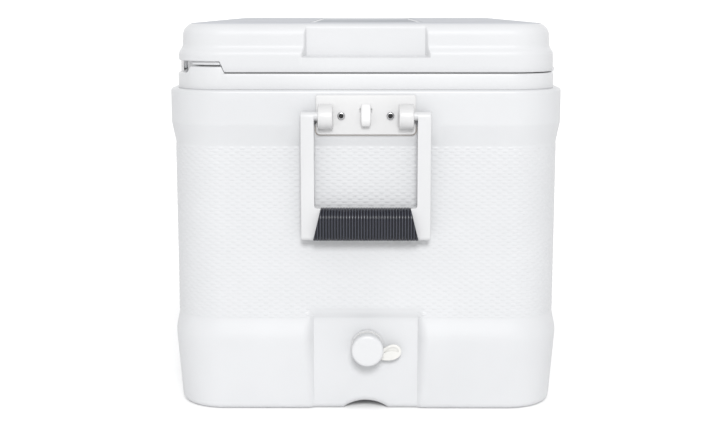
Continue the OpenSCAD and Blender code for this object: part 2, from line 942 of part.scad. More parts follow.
// The tether's fixed end: a ring on the fitting and the loop beside the cap
module drain_tether() {
    ring_x = recess_floor_x + washer_thick + flange_thick + 0.1;
    loop_y = 28;
    loop_r = 10.5;
    band = 3.5;
    color([0.95, 0.955, 0.96])
        on_drain_axis()
            translate([0, 0, ring_x])
                linear_extrude(height = 1.3)
                    difference() {
                        union() {
                            circle(r = spout_r + band);
                            translate([0, loop_y])
                                circle(r = loop_r);
                            translate([-4, spout_r + 1])
                                square([8, 5]);
                        }
                        circle(r = spout_r + 0.3);
                        translate([0, loop_y])
                            circle(r = loop_r - band);
                    }
}

// The tether's other end: a ring in the groove at the back of the cap
module tether_cap_ring() {
    color([0.95, 0.955, 0.96])
        on_drain_axis()
            translate([0, 0, cap_back + 0.3])
                difference() {
                    cylinder(r = cap_diameter / 2 - 0.2, h = 1.5);
                    translate([0, 0, -1])
                        cylinder(r = cap_diameter / 2 - 2.4 + running, h = 4);
                }
}

outer_shell();
body_foam();
inner_liner();
handle_anchors();
handle_bracket(1);  // handle_bracket_right
handle_bracket(-1);  // handle_bracket_left
bracket_screws(1);  // bracket_screws_right
bracket_screws(-1);  // bracket_screws_left
handle_bail(1);  // handle_bail_right
handle_bail(-1);  // handle_bail_left
handle_grip(1);  // handle_grip_right
handle_grip(-1);  // handle_grip_left
lid_shell();
lid_foam();
lid_liner();
hinge_body_leaves();
hinge_lid_leaves();
hinge_pins();
hinge_body_screws();
hinge_lid_screws();
latch_brackets();
latch_bracket_screws();
latch_lever(1);  // latch_lever_right
latch_lever(-1);  // latch_lever_left
latch_pins();
latch_keepers();
latch_keeper_screws();
drain_fitting();
drain_washer();
drain_nut();
drain_cap();
cap_seal();
drain_tether();
tether_cap_ring();
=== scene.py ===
import json
import math

import bpy
import numpy as np
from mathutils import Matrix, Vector


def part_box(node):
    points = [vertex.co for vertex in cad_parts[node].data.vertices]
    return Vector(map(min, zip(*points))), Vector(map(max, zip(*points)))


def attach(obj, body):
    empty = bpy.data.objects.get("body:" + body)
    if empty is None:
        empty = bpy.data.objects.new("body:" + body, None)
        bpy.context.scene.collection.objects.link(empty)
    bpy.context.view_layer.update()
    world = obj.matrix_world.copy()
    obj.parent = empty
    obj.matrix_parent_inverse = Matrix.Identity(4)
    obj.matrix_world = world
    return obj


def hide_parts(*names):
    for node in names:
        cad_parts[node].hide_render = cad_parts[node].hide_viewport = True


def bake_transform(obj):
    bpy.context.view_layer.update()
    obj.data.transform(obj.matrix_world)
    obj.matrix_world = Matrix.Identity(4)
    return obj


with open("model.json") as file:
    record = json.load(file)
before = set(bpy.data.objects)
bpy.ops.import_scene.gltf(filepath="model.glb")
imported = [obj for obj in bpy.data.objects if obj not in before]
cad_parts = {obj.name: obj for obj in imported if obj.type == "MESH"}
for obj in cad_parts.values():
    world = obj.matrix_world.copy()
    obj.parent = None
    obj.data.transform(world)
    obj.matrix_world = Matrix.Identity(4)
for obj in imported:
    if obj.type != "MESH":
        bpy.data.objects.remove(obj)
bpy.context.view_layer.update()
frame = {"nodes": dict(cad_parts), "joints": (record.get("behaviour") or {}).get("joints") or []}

# Lengths are in millimetres until a piece is made.
MM = 0.001


def cad_box(node):
    """A CAD node's lowest and highest corners, in millimetres."""
    low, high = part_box(node)
    return np.array(low) / MM, np.array(high) / MM


# ---- Sizes worked out from the frame ----

shell_high = cad_box("outer_shell")[1]
lid_low, lid_high = cad_box("lid_shell")
grip_low, grip_high = cad_box("handle_grip_right")
bail_low, bail_high = cad_box("handle_bail_right")
plate_low, plate_high = cad_box("handle_bracket_right")
cap_low, cap_high = cad_box("drain_cap")
fitting_low, fitting_high = cad_box("drain_fitting")
tether_low = cad_box("drain_tether")[0]
cap_ring_low = cad_box("tether_cap_ring")[0]
joints = {j["name"]: j for j in frame["joints"]}

END_X = shell_high[0]
SIDE_Y = shell_high[1]
CORNER_R = 60.0
AXIS_X = END_X - CORNER_R
AXIS_Y = SIDE_Y - CORNER_R
TUB_AXES = (AXIS_X - 15, AXIS_Y - 15)
SEAM = shell_high[2]
LID_BOTTOM = lid_low[2]
LID_TOP = lid_high[2]
RIM_TOP = LID_BOTTOM - 1.2

# Distances of the walls from the corner axes
BAND_R = CORNER_R
PANEL_R = CORNER_R - 4.5
BASE_LOW_R = CORNER_R - 6
COLLAR_R = CORNER_R - 8.5
SKIRT_R = CORNER_R - 9.5
LID_TOP_R = CORNER_R - 14.5
FLANGE_R = COLLAR_R - 11
TUB_RIM_R = 33.0
TUB_FLOOR_R = 27.0

# Levels
FILLET = 7.0
BASE_TOP = 85.0
PANEL_BOTTOM = 106.0
BAND_BOTTOM = SEAM - 38
PANEL_TOP = BAND_BOTTOM - 23
FLOOR = 57.0
LID_CREASE = LID_BOTTOM + 22
LID_EDGE = 14.0
NOTCH_TOP = LID_BOTTOM + 12

# Features of the ends and the front
ARCH_HALF = 26.0
ARCH_HEIGHT = 8.5
ARCH_R = (ARCH_HALF**2 + ARCH_HEIGHT**2) / (2 * ARCH_HEIGHT)
DRAIN_FLOOR_R = CORNER_R - 8.5
DRAIN_HALF = 58.5
DRAIN_SIDE_SLOPE = 1.1
DRAIN_TOP_RUN = 2.4
DRAIN_SOFTNESS = 6.0
DRAIN_TOP_SOFTNESS = 3.0
BOSS_HALF = 85.0
BOSS_SLOPE = 14.0
BOSS_EDGE = 18.0
POCKET_X = 190.0
POCKET_HALF = 36.0
POCKET_BOTTOM = SEAM - 22
NOTCH_X = AXIS_X - 42
NOTCH_Y = AXIS_Y - 6
RISER_Y = AXIS_Y - 3

# The ring that columns are measured along: straight sides and quarter arcs at the panel
ARC = PANEL_R * math.pi / 2
BREAKS = np.cumsum([0, AXIS_Y, ARC, 2 * AXIS_X, ARC, 2 * AXIS_Y, ARC, 2 * AXIS_X, ARC, AXIS_Y])
AROUND = BREAKS[-1]
LEFT_MIDDLE = AROUND / 2
FRONT_START = BREAKS[6]

# Each riser as the (foot, top) of its first slope and of its last, along the ring
RISER_TOP_Y = RISER_Y + 0.8
RISER_FOOT_Y = RISER_Y - 2.6
RISER_TOP_TURN = 0.45 * ARC
RISER_FOOT_TURN = 0.533 * ARC
RISER_SPANS = (
    (
        (BREAKS[8] - RISER_FOOT_TURN, BREAKS[8] - RISER_TOP_TURN),
        (AROUND - RISER_FOOT_Y, AROUND - RISER_TOP_Y),
    ),
    (
        (LEFT_MIDDLE + RISER_FOOT_Y, LEFT_MIDDLE + RISER_TOP_Y),
        (BREAKS[5] + RISER_FOOT_TURN, BREAKS[5] + RISER_TOP_TURN),
    ),
)
NOTCH_SLOPE = 6.5


# ---- Mesh helpers ----


def new_object(name, data):
    """An object in the scene for a mesh, a lamp or a camera."""
    made = bpy.data.objects.new(name, data)
    bpy.context.scene.collection.objects.link(made)
    return made


def bare_object(name, part):
    """A mesh object from points in millimetres, with no material yet."""
    mesh = bpy.data.meshes.new(name)
    mesh.from_pydata((np.asarray(part[0], float) * MM).tolist(), [], part[1])
    return new_object(name, mesh)


def make_piece(name, points, faces, material, body, node, slot, angle):
    """A finished piece that rides on a body and stands in for one node, several or none."""
    piece = bare_object(name, (points, faces))
    piece.data.validate()
    piece.data.materials.append(material)
    piece.data.shade_smooth()
    piece.data.set_sharp_from_angle(angle=math.radians(angle))
    if body:
        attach(piece, body)
    if node:
        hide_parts(*([node] if isinstance(node, str) else node))
    return piece


def merged(parts):
    """Several (points, faces) as one."""
    points, faces, count = [], [], 0
    for some, their_faces in parts:
        points += [tuple(p) for p in some]
        faces += [[i + count for i in f] for f in their_faces]
        count += len(some)
    return points, faces


def mirrored(part, axis):
    """A part reflected in the plane across an axis, with its faces turned the right way."""
    points = np.array(part[0], float)
    points[:, axis] *= -1
    return points.tolist(), [f[::-1] for f in part[1]]


def for_end(part, side):
    """A part made for the right end, reflected if it's for the left one."""
    return mirrored(part, 0) if side == "left" else part


def inset_outline(outline, distance):
    """A closed outline moved inwards by a distance, by its neighbours' directions."""
    pts = np.array(outline, float)
    ahead = np.roll(pts, -1, 0) - pts
    ahead /= np.linalg.norm(ahead, axis=1)[:, None]
    behind = np.roll(ahead, 1, 0)
    normal = np.stack([-(ahead + behind)[:, 1], (ahead + behind)[:, 0]], 1)
    scale = np.maximum((normal * np.stack([-ahead[:, 1], ahead[:, 0]], 1)).sum(1), 0.35)
    return pts + normal / scale[:, None] * distance


def swept(sections, turned=False):
    """A closed solid through sections with as many points each; turned flips its faces."""
    count = len(sections[0])
    points, faces = [], []
    for section in sections:
        points += [tuple(p) for p in section]
    for low in range(0, len(points) - count, count):
        for i in range(count):
            j = (i + 1) % count
            faces.append((low + i, low + j, low + count + j, low + count + i))
    faces.append(tuple(range(count))[::-1])
    faces.append(tuple(range(len(points) - count, len(points))))
    return points, [f[::-1] for f in faces] if turned else faces


def slab(outline, low, high, bevel, axes, steps=3):
    """A prism of an anticlockwise outline from low to high, with its rims rounded by a bevel."""
    rims = []
    for a in np.linspace(0, math.pi / 2, steps + 1):
        rims.append((bevel * (1 - math.sin(a)), low + bevel * (1 - math.cos(a))))
    rims += [(d, low + high - z) for d, z in rims[::-1]]
    sections = []
    for inset, level in rims:
        flat = inset_outline(outline, inset)
        section = np.full((len(flat), 3), level)
        section[:, axes[0]], section[:, axes[1]] = flat[:, 0], flat[:, 1]
        sections.append(section)
    return swept(sections, axes in ((0, 2, 1), (1, 0, 2), (2, 1, 0)))


def lathe(profile, axis, centre, sides=48):
    """A closed solid turned about an axis from (radius, distance along the axis) points."""
    others = [(axis + 1) % 3, (axis + 2) % 3]
    points, faces, rings = [], [], []
    for radius, along in profile:
        ring = []
        for i in range(sides if radius > 0 else 1):
            a = 2 * math.pi * i / sides
            p = [0, 0, 0]
            p[axis] = centre[axis] + along
            p[others[0]] = centre[others[0]] + radius * math.cos(a)
            p[others[1]] = centre[others[1]] + radius * math.sin(a)
            ring.append(len(points))
            points.append(p)
        rings.append(ring)
    pairs = list(zip(rings, rings[1:]))
    if profile[0][0] > 0:
        pairs.append((rings[-1], rings[0]))
    for a, b in pairs:
        for i in range(sides):
            j = (i + 1) % sides
            if len(a) == 1:
                faces.append([a[0], b[j], b[i]])
            elif len(b) == 1:
                faces.append([a[i], a[j], b[0]])
            else:
                faces.append([a[i], a[j], b[j], b[i]])
    return points, faces


def arc_points(cx, cy, r, a0, a1, steps):
    """Points of an arc in a plane, with both its ends, angles in degrees."""
    angles = np.radians(np.linspace(a0, a1, steps + 1))
    return [(cx + r * math.cos(a), cy + r * math.sin(a)) for a in angles]


def rounded_box_outline(u0, u1, v0, v1, r, steps=4):
    """An anticlockwise rectangle with round corners."""
    return (
        arc_points(u1 - r, v0 + r, r, -90, 0, steps)
        + arc_points(u1 - r, v1 - r, r, 0, 90, steps)
        + arc_points(u0 + r, v1 - r, r, 90, 180, steps)
        + arc_points(u0 + r, v0 + r, r, 180, 270, steps)
    )


def soft_box(low, high, r=0.8, axes=(0, 1, 2)):
    """A box with rounded edges, extruded along the last of the axes."""
    a, b, c = axes
    outline = rounded_box_outline(low[a], high[a], low[b], high[b], r, 3)
    return slab(outline, low[c], high[c], r, axes)


def cut_by(target, part, operation="DIFFERENCE"):
    """Applies an exact boolean with a (points, faces) part to a mesh object."""
    tool = bare_object("tool", part)
    modifier = target.modifiers.new("cut", "BOOLEAN")
    modifier.operation = operation
    modifier.solver = "EXACT"
    modifier.object = tool
    depsgraph = bpy.context.evaluated_depsgraph_get()
    result = bpy.data.meshes.new_from_object(target.evaluated_get(depsgraph))
    target.modifiers.clear()
    target.data = result
    bpy.data.objects.remove(tool)


def taken_apart(made):
    """An object's (points, faces) in millimetres; the object is removed."""
    points = [tuple(np.array(v.co) / MM) for v in made.data.vertices]
    faces = [list(f.vertices) for f in made.data.polygons]
    bpy.data.objects.remove(made)
    return points, faces


# ---- Rings round the chest ----


def around(s, axis_x, axis_y):
    """Base points and outward directions at distances s along the ring, for given corner axes."""
    s = np.mod(np.asarray(s, float), AROUND)
    leg = np.clip(np.searchsorted(BREAKS, s, "right") - 1, 0, 8)
    f = (s - BREAKS[leg]) / (BREAKS[leg + 1] - BREAKS[leg])
    x = np.select(
        [leg <= 1, leg == 2, leg <= 5, leg == 6], [1 + 0 * f, 1 - 2 * f, -1 + 0 * f, 2 * f - 1], 1
    )
    y = np.select(
        [leg == 0, leg <= 3, leg == 4, leg <= 7], [f, 1 + 0 * f, 1 - 2 * f, -1 + 0 * f], f - 1
    )
    turn = np.where(leg % 2 == 0, leg / 2, (leg - 1) / 2 + f)
    angle = turn * math.pi / 2
    return np.stack([x * axis_x, y * axis_y], 1), np.stack([np.cos(angle), np.sin(angle)], 1)


def ring(s, radius, z, axes=(AXIS_X, AXIS_Y)):
    """Points of one ring."""
    base, out = around(s, *axes)
    flat = base + out * np.broadcast_to(radius, len(s))[:, None]
    return np.column_stack([flat, np.broadcast_to(z, len(s))])


class Skin:
    """Points and faces that are gathered ring by ring."""

    def __init__(self):
        self.points = []
        self.faces = []

    def add(self, *row):
        """A new ring; returns the numbers of its points."""
        start = len(self.points)
        self.points += ring(*row).tolist()
        return np.arange(start, len(self.points))

    def join(self, a, b):
        """Quads between two rings with the same columns."""
        for i in range(len(a)):
            j = (i + 1) % len(a)
            self.faces.append((a[i], a[j], b[j], b[i]))

    def join_strip(self, rings):
        for a, b in zip(rings, rings[1:]):
            self.join(a, b)

    def zip(self, a, sa, b, sb):
        """Triangles between two rings with different columns, a below b."""
        na, nb = len(a), len(b)
        i = j = 0
        while i < na or j < nb:
            next_a = sa[i + 1] if i + 1 < na else sa[0] + AROUND
            next_b = sb[j + 1] if j + 1 < nb else sb[0] + AROUND
            if j >= nb or (i < na and next_a <= next_b):
                self.faces.append((a[i % na], a[(i + 1) % na], b[j % nb]))
                i += 1
            else:
                self.faces.append((a[i % na], b[(j + 1) % nb], b[j % nb]))
                j += 1

    def cap(self, a, up):
        self.faces.append(tuple(a) if up else tuple(a[::-1]))


def ring_solid(columns, rows):
    """A closed solid through rings, each (radius, height, corner axes), from its lower end on."""
    return swept([ring(columns, *row) for row in rows])


def rounded_profile(z, levels, radii, rounds):
    """A profile's distance at heights z: straight between its knots, with each knot smoothed."""
    levels, radii = np.array(levels, float), np.array(radii, float)
    out = np.interp(z, levels, radii)
    slopes = np.diff(radii) / np.diff(levels)
    for k in range(1, len(levels) - 1):
        h = rounds[k - 1]
        off = np.abs(z - levels[k])
        out = out + np.where(off < h, (slopes[k] - slopes[k - 1]) * (h - off) ** 2 / (4 * h), 0)
    return out


def smooth_min(a, b, k):
    h = np.clip(0.5 + 0.5 * (b - a) / k, 0, 1)
    return b * (1 - h) + a * h - k * h * (1 - h)


def corner_columns(steps=12):
    """Distances of the four corners' columns, without their first and last."""
    found = []
    for leg in (1, 3, 5, 7):
        found += list(np.linspace(BREAKS[leg], BREAKS[leg + 1], steps + 1))
    return found


def side_columns(step=40):
    """Plain columns along the long sides, between the corners."""
    found = []
    for leg in (2, 6):
        count = int(2 * AXIS_X / step)
        found += list(np.linspace(BREAKS[leg], BREAKS[leg + 1], count + 1)[1:-1])
    return found


def front(x):
    """The distance round the ring of a place on the front side."""
    return FRONT_START + AXIS_X + x


def across_end(s):
    """How far across the ends a column is, signed along Y, and which end it is at (+1, -1 or 0)."""
    s = np.mod(s, AROUND)
    right = (s <= AXIS_Y) | (s >= AROUND - AXIS_Y)
    left = np.abs(s - LEFT_MIDDLE) <= AXIS_Y
    y = np.where(right, np.where(s > AROUND / 2, s - AROUND, s), np.where(left, LEFT_MIDDLE - s, 1e4))
    return y, np.where(right, 1, np.where(left, -1, 0))


def distinct(values, gap=0.05):
    """Sorted columns with near repeats removed."""
    values = np.sort(np.mod(values, AROUND))
    return values[np.concatenate([[True], np.diff(values) > gap])]


# ---- Outer shell ----

SCALE_PITCH = AROUND / round(AROUND / 11.8)
COLUMN_STEP = SCALE_PITCH / 3
COLUMNS = round(AROUND / COLUMN_STEP)
ROW_STEP = 1.155
SCALE_DEPTH = 0.57
BASE_LEVELS = (16, 22, 45, 66, 76, 80, 83, 85, 87, 90, 94, 100, PANEL_BOTTOM - 0.8)
BAND_LEVELS = BAND_BOTTOM + np.array(
    [-22.7, -21, -19, -16.2, -15.4, -8, -1.5, -0.8, 0, 0.8, 1.5, 8, 15.1, 15.95, 16.05, 26, 34.8]
)
SCALE_STEPS = [-1, -2 / 3, -1 / 3, 0, 1 / 3, 2 / 3, 1]
SCALE_LIFTS = [0, 0.62, 0.95, 1, 0.72, 0.38, 0]


def wall_profile(z):
    """The shell's plain outer profile above the base fillet."""
    return rounded_profile(
        z,
        [FILLET, BASE_TOP, PANEL_BOTTOM, PANEL_TOP, BAND_BOTTOM, SEAM],
        [BASE_LOW_R, BAND_R, PANEL_R, PANEL_R, BAND_R, BAND_R],
        [7, 1.0, 1.0, 1.5],
    )


def drain_recess_r(y, side, z):
    """The drain recess's surface, far out wherever there is no recess."""
    sideways = (np.abs(y) - DRAIN_HALF) * DRAIN_SIDE_SLOPE
    deep = np.maximum(np.maximum(sideways, (z - PANEL_BOTTOM) / DRAIN_TOP_RUN), 0)
    return np.where(side > 0, DRAIN_FLOOR_R + deep, 1e3)


def shell_r(s, z):
    """The outer surface without its scales, from the base fillet's top to the seam."""
    y, side = across_end(s)
    r = wall_profile(z) + 0 * s
    boss_r = np.minimum(PANEL_R + (z - PANEL_TOP) * (BAND_R - PANEL_R) / BOSS_SLOPE, BAND_R)
    share = np.clip((BOSS_HALF + 2 - np.abs(y)) / BOSS_EDGE, 0, 1)
    share = share * share * (3 - 2 * share) * (z > PANEL_TOP)
    r = r + np.maximum(boss_r - r, 0) * share
    softness = np.interp(z, [PANEL_BOTTOM - 10, PANEL_BOTTOM], [DRAIN_SOFTNESS, DRAIN_TOP_SOFTNESS])
    return smooth_min(r, drain_recess_r(y, side, z), softness)


def scale_height(s, row):
    """Height of the moulded scales at columns s of a row of the lattice."""
    best = np.zeros_like(s)
    for j in range((row - 4) // 3, (row + 2) // 3 + 2):
        rise = (row - 3 * j - 1) / 3.0
        if abs(rise) >= 1:
            continue
        phase = np.mod(s / SCALE_PITCH - 0.5 * (j % 2) + 0.5, 1) - 0.5
        across = np.abs(phase) * 2
        room = 1 - across
        v = np.where(room > 1e-6, rise / np.maximum(room, 1e-6), 9)
        lift = np.interp(v, SCALE_STEPS, SCALE_LIFTS)
        best = np.maximum(best, lift * np.maximum(room, 0) ** 0.8)
    return best


def base_columns():
    """Columns of the base, close together round the drain recess's edges."""
    arch = np.linspace(-ARCH_HALF, ARCH_HALF, 17)
    found = list(arch) + list(LEFT_MIDDLE + arch)
    for hand in (1, -1):
        found += [hand * (DRAIN_HALF + off) for off in np.linspace(-7.5, 15, 16)]
        found += [hand * y for y in (36, 44, 90, 120)]
        found += [LEFT_MIDDLE + hand * y for y in (60, 110)]
    return distinct(found + corner_columns() + side_columns())


def arch_height(y):
    inside = np.abs(y) < ARCH_HALF
    return np.where(inside, ARCH_HEIGHT - ARCH_R + np.sqrt(np.maximum(ARCH_R**2 - y**2, 0)), 0)


def fillet_inset(height):
    """How far the rounded bottom edge lies inside the wall, at a height above its foot."""
    return FILLET - math.sqrt(max(FILLET**2 - (FILLET - height) ** 2, 0))


def add_base(skin):
    """The base from its underside to just below the scales. Returns its last ring."""
    columns = base_columns()
    foot = np.maximum(arch_height(across_end(columns)[0]), 0)
    rings = []
    for turn in (0, 10, 20, 32, 45, 60, 75, 90):
        height = FILLET * (1 - math.cos(math.radians(turn)))
        r = shell_r(columns, foot + height) - fillet_inset(height)
        rings.append(skin.add(columns, r, foot + height))
    for z in BASE_LEVELS:
        rings.append(skin.add(columns, shell_r(columns, z), z))
    skin.join_strip(rings)
    add_underside(skin, rings[0], columns)
    return rings[-1], columns


def add_underside(skin, foot, columns):
    """The flat underside and the groove along its middle."""
    y, side = across_end(columns)
    order = sorted(np.flatnonzero((side > 0) & (np.abs(y) <= ARCH_HALF + 0.01)), key=lambda i: y[i])
    other = sorted(np.flatnonzero((side < 0) & (np.abs(y) <= ARCH_HALF + 0.01)), key=lambda i: y[i])
    for a, b, c, d in zip(order, order[1:], other[1:], other):
        skin.faces.append((foot[a], foot[d], foot[c], foot[b]))
    count = len(columns)
    for start, stop in ((order[-1], other[-1]), (other[0], order[0])):
        run = [start]
        while run[-1] != stop:
            run.append((run[-1] + 1) % count)
        skin.faces.append(tuple(foot[i] for i in run[::-1]))


def add_scales(skin):
    """The scaled panel. Returns its first and last rings with their columns."""
    first = last = before = None
    rows = int((PANEL_TOP - PANEL_BOTTOM) / ROW_STEP)
    start = PANEL_BOTTOM + (PANEL_TOP - PANEL_BOTTOM - rows * ROW_STEP) / 2 + ROW_STEP / 2
    for row in range(rows):
        z = start + row * ROW_STEP
        grid = (np.arange(COLUMNS) + 0.5 * (row % 2)) * COLUMN_STEP
        y, side = across_end(grid)
        r = shell_r(grid, z)
        plain = drain_recess_r(y, side, z) - PANEL_R
        fade = np.clip(plain / 1.5, 0, 1) * (0 if row in (0, rows - 1) else 1)
        r = r + scale_height(grid, row) * SCALE_DEPTH * fade
        now = skin.add(grid, r, z)
        if row == 0:
            first = (now, grid)
        if before is not None:
            weave(skin, before, now, row % 2)
        before = now
        last = (now, grid)
    return first, last


def weave(skin, low, high, odd):
    """Triangles between two rows of the lattice; odd says that the upper row is half a step on."""
    count = len(low)
    for k in range(count):
        n = (k + 1) % count
        if odd:
            skin.faces.append((low[k], low[n], high[k]))
            skin.faces.append((low[n], high[n], high[k]))
        else:
            skin.faces.append((low[k], high[n], high[k]))
            skin.faces.append((low[k], low[n], high[n]))


def band_columns():
    found = corner_columns() + side_columns()
    for centre in (0, LEFT_MIDDLE):
        for hand in (-1, 1):
            found += [centre + hand * (BOSS_HALF + off) for off in (-16, -12, -8, -5, -2, 0, 2)]
            found += [centre + hand * 40, centre + hand * 120]
    for hand in (-1, 1):
        for edge in (-POCKET_HALF, POCKET_HALF):
            out = math.copysign(1, edge)
            found += [front(hand * POCKET_X + edge + out * off) for off in (-0.6, -0.1, 0.1, 0.8)]
    return distinct(found)


def band_r(s, z):
    r = shell_r(s, z)
    x = np.mod(s, AROUND) - FRONT_START - AXIS_X
    for hand in (-1, 1):
        inside = np.abs(x - hand * POCKET_X) < POCKET_HALF
        r = np.where(inside & (z > POCKET_BOTTOM), COLLAR_R, r)
    return r


def build_outer_shell(material):
    skin = Skin()
    base_top, base_s = add_base(skin)
    (first, first_s), (last, last_s) = add_scales(skin)
    skin.zip(base_top, base_s, first, first_s)
    columns = band_columns()
    rings = []
    for z in BAND_LEVELS:
        rings.append(skin.add(columns, band_r(columns, z), z))
    pocket = band_r(columns, SEAM - 4) < BAND_R - 5
    soft = 3.2
    for a in np.radians([20, 40, 60, 78, 90]):
        r = np.where(pocket, COLLAR_R, BAND_R - soft + soft * math.cos(a))
        rings.append(skin.add(columns, r, SEAM - soft + soft * math.sin(a)))
    for z in (SEAM, SEAM - 3):
        rings.append(skin.add(columns, TUB_RIM_R + 3.2, z, TUB_AXES))
    for r, z in ((48, SEAM - 3), (48, 24), (36, 12.5)):
        rings.append(skin.add(columns, r, z))
    skin.zip(last, last_s, rings[0], columns)
    skin.join_strip(rings)
    skin.cap(rings[-1], True)
    make_piece(
        "outer_shell_moulding", skin.points, skin.faces, material, "cooler_body", "outer_shell",
        "shell_plastic", 22,
    )


# ---- Inner liner: the collar, its rim and the food compartment ----

RISER_RISE = 7.4


def riser_share(s):
    """1 on the raised part of the collar under each finger notch, 0 elsewhere, with sloped ends."""
    share = np.zeros_like(s)
    for inner, outer in RISER_SPANS:
        share = np.maximum(share, slope_share(s, inner, outer))
    return share


def slope_share(s, start, end):
    """A trapezoid along the ring: start and end are (foot, top) distances of its two slopes."""
    rising = (s - start[0]) / (start[1] - start[0])
    falling = (end[0] - s) / (end[0] - end[1])
    return np.clip(np.minimum(rising, falling), 0, 1)


def liner_columns():
    """Columns of the liner, with the risers' slopes among them."""
    found = corner_columns(14) + side_columns()
    for start, end in RISER_SPANS:
        for foot, top in (start, end):
            found += list(np.linspace(foot, top, 3))
    for centre in (0, LEFT_MIDDLE):
        found += [centre + y for y in (-80, -40, 0, 40, 80)]
    return distinct(found, 0.02)


def build_liner(material):
    """The tub from its hidden outside over the collar and rim to its floor."""
    columns = liner_columns()
    up = RISER_RISE * riser_share(columns)
    rows = [
        (TUB_FLOOR_R - 6, FLOOR - 3, TUB_AXES),
        (TUB_FLOOR_R + 3, FLOOR + 9, TUB_AXES),
        (TUB_RIM_R + 3, RIM_TOP - 3.5, TUB_AXES),
        (COLLAR_R - 3, RIM_TOP - 3),
        (COLLAR_R - 3, SEAM),
        (COLLAR_R - 0.4, SEAM),
        (COLLAR_R, SEAM + 0.5),
        (COLLAR_R, RIM_TOP - 2.2 + up),
        (COLLAR_R - 0.35, RIM_TOP - 1.0 + up),
        (COLLAR_R - 1.1, RIM_TOP - 0.3 + up),
        (COLLAR_R - 2.2, RIM_TOP + up),
        (COLLAR_R - 9.2, RIM_TOP + up),
        (COLLAR_R - 10, RIM_TOP - 0.5 + up),
        (COLLAR_R - 10.4, RIM_TOP + up * 0.1),
        (COLLAR_R - 10.6, RIM_TOP),
    ]
    for a in np.radians([0, 22.5, 45, 67.5, 90]):
        rows.append((TUB_RIM_R + 3 - 3 * math.sin(a), RIM_TOP - 3 + 3 * math.cos(a), TUB_AXES))
    rows.append((TUB_FLOOR_R + 0.2, FLOOR + 11, TUB_AXES))
    for a in np.radians([15, 30, 45, 60, 75, 90]):
        r = TUB_FLOOR_R - 10 + 10 * math.cos(a)
        rows.append((r, FLOOR + 10 - 10 * math.sin(a), TUB_AXES))
    make_piece(
        "liner_moulding", *ring_solid(columns, rows), material, "cooler_body", "inner_liner",
        "liner_plastic", 28,
    )


# ---- Lid ----

LID_RECESS_HALF = 65.0
LID_SOFTNESS = 1.6
LID_RECESS_R = LID_TOP_R - 4.5
LID_RECESS_FOOT = LID_BOTTOM + 17
TOP_PANEL_X = 250.0
TOP_PANEL_Y = 60.0
TOP_MIN_NORMAL = 0.93
LEDGE_Z = RIM_TOP + 9.0


def lid_profile(z):
    return rounded_profile(
        z,
        [LID_BOTTOM, LID_BOTTOM + 1.5, LID_CREASE - 1, LID_CREASE + 5, LID_TOP - LID_EDGE],
        [SKIRT_R - 1, SKIRT_R, SKIRT_R, LID_TOP_R + 0.5, LID_TOP_R],
        [0.9, 3.0, 3.0],
    )


def lid_recess_r(s, z):
    """The shallow recess in each end of the lid, far out elsewhere."""
    y, side = across_end(s)
    deep = np.maximum((np.abs(y) - LID_RECESS_HALF) / 0.56, (LID_RECESS_FOOT + 1 - z) * 5)
    return np.where(side != 0, LID_RECESS_R + np.maximum(deep, 0), 1e3)


def lid_columns():
    found = corner_columns(14) + side_columns()
    for centre in (0, LEFT_MIDDLE):
        for hand in (-1, 1):
            edge = LID_RECESS_HALF + np.array([-4, -2, -1, 0, 1, 2, 3, 4, 5, 6, 8])
            found += list(centre + hand * edge)
            found += [centre + hand * 30, centre + hand * 110]
    for span in RISER_SPANS:
        for foot_s, top_s in span:
            found += [foot_s, (foot_s + top_s) / 2, top_s]
    steps = np.array([-1, 0, 1, 2.5, 4, 5.5, NOTCH_SLOPE, NOTCH_SLOPE + 1])
    found += [front(hand * (NOTCH_X + off)) for hand in (-1, 1) for off in steps]
    found += list(AROUND - NOTCH_Y - steps) + list(LEFT_MIDDLE + NOTCH_Y + steps)
    return distinct(found, 0.02)


def notch_share(s):
    """1 in the middle of each finger notch, 0 outside, with sloped and rounded ends."""
    right = slope_share(
        s,
        (front(NOTCH_X), front(NOTCH_X + NOTCH_SLOPE)),
        (AROUND - NOTCH_Y, AROUND - NOTCH_Y - NOTCH_SLOPE),
    )
    left = slope_share(
        s,
        (LEFT_MIDDLE + NOTCH_Y, LEFT_MIDDLE + NOTCH_Y + NOTCH_SLOPE),
        (front(-NOTCH_X), front(-NOTCH_X - NOTCH_SLOPE)),
    )
    share = np.maximum(left, right)
    return share * share * (3 - 2 * share)


def lid_under_rows(notch, ledge):
    """Rings of the lid's hidden side, from the liner's edge out to the skirt's foot."""
    rows = []
    flange, low, top = FLANGE_R, LID_BOTTOM, LID_BOTTOM + 2
    for notched_r, notched_z, plain_r, plain_z in (
        (flange - 3, low + 3.4, flange - 3, low + 3.4),
        (flange - 2.9, low, flange - 2.9, top),
        (flange, low, flange, top),
        (flange, LEDGE_Z, flange + 0.2, top),
        (flange + 7 * ledge, LEDGE_Z, flange + 0.3, top),
        (flange + 7.6 * ledge, LEDGE_Z + 0.6, flange + 0.4, top),
        (flange + 7.4 * ledge, LEDGE_Z + 1.4, flange + 0.5, top),
        (flange + 0.1 + 6.4 * ledge, NOTCH_TOP - 0.9, flange + 0.6, top),
        (flange + 0.8 + 5.7 * ledge, NOTCH_TOP, SKIRT_R - 3, top),
        (SKIRT_R - 3, NOTCH_TOP, SKIRT_R - 3, low + 0.4),
        (SKIRT_R - 1, NOTCH_TOP, SKIRT_R - 1, low),
    ):
        r = plain_r + (notched_r - plain_r) * notch
        rows.append((r, plain_z + (notched_z - plain_z) * notch))
    return rows


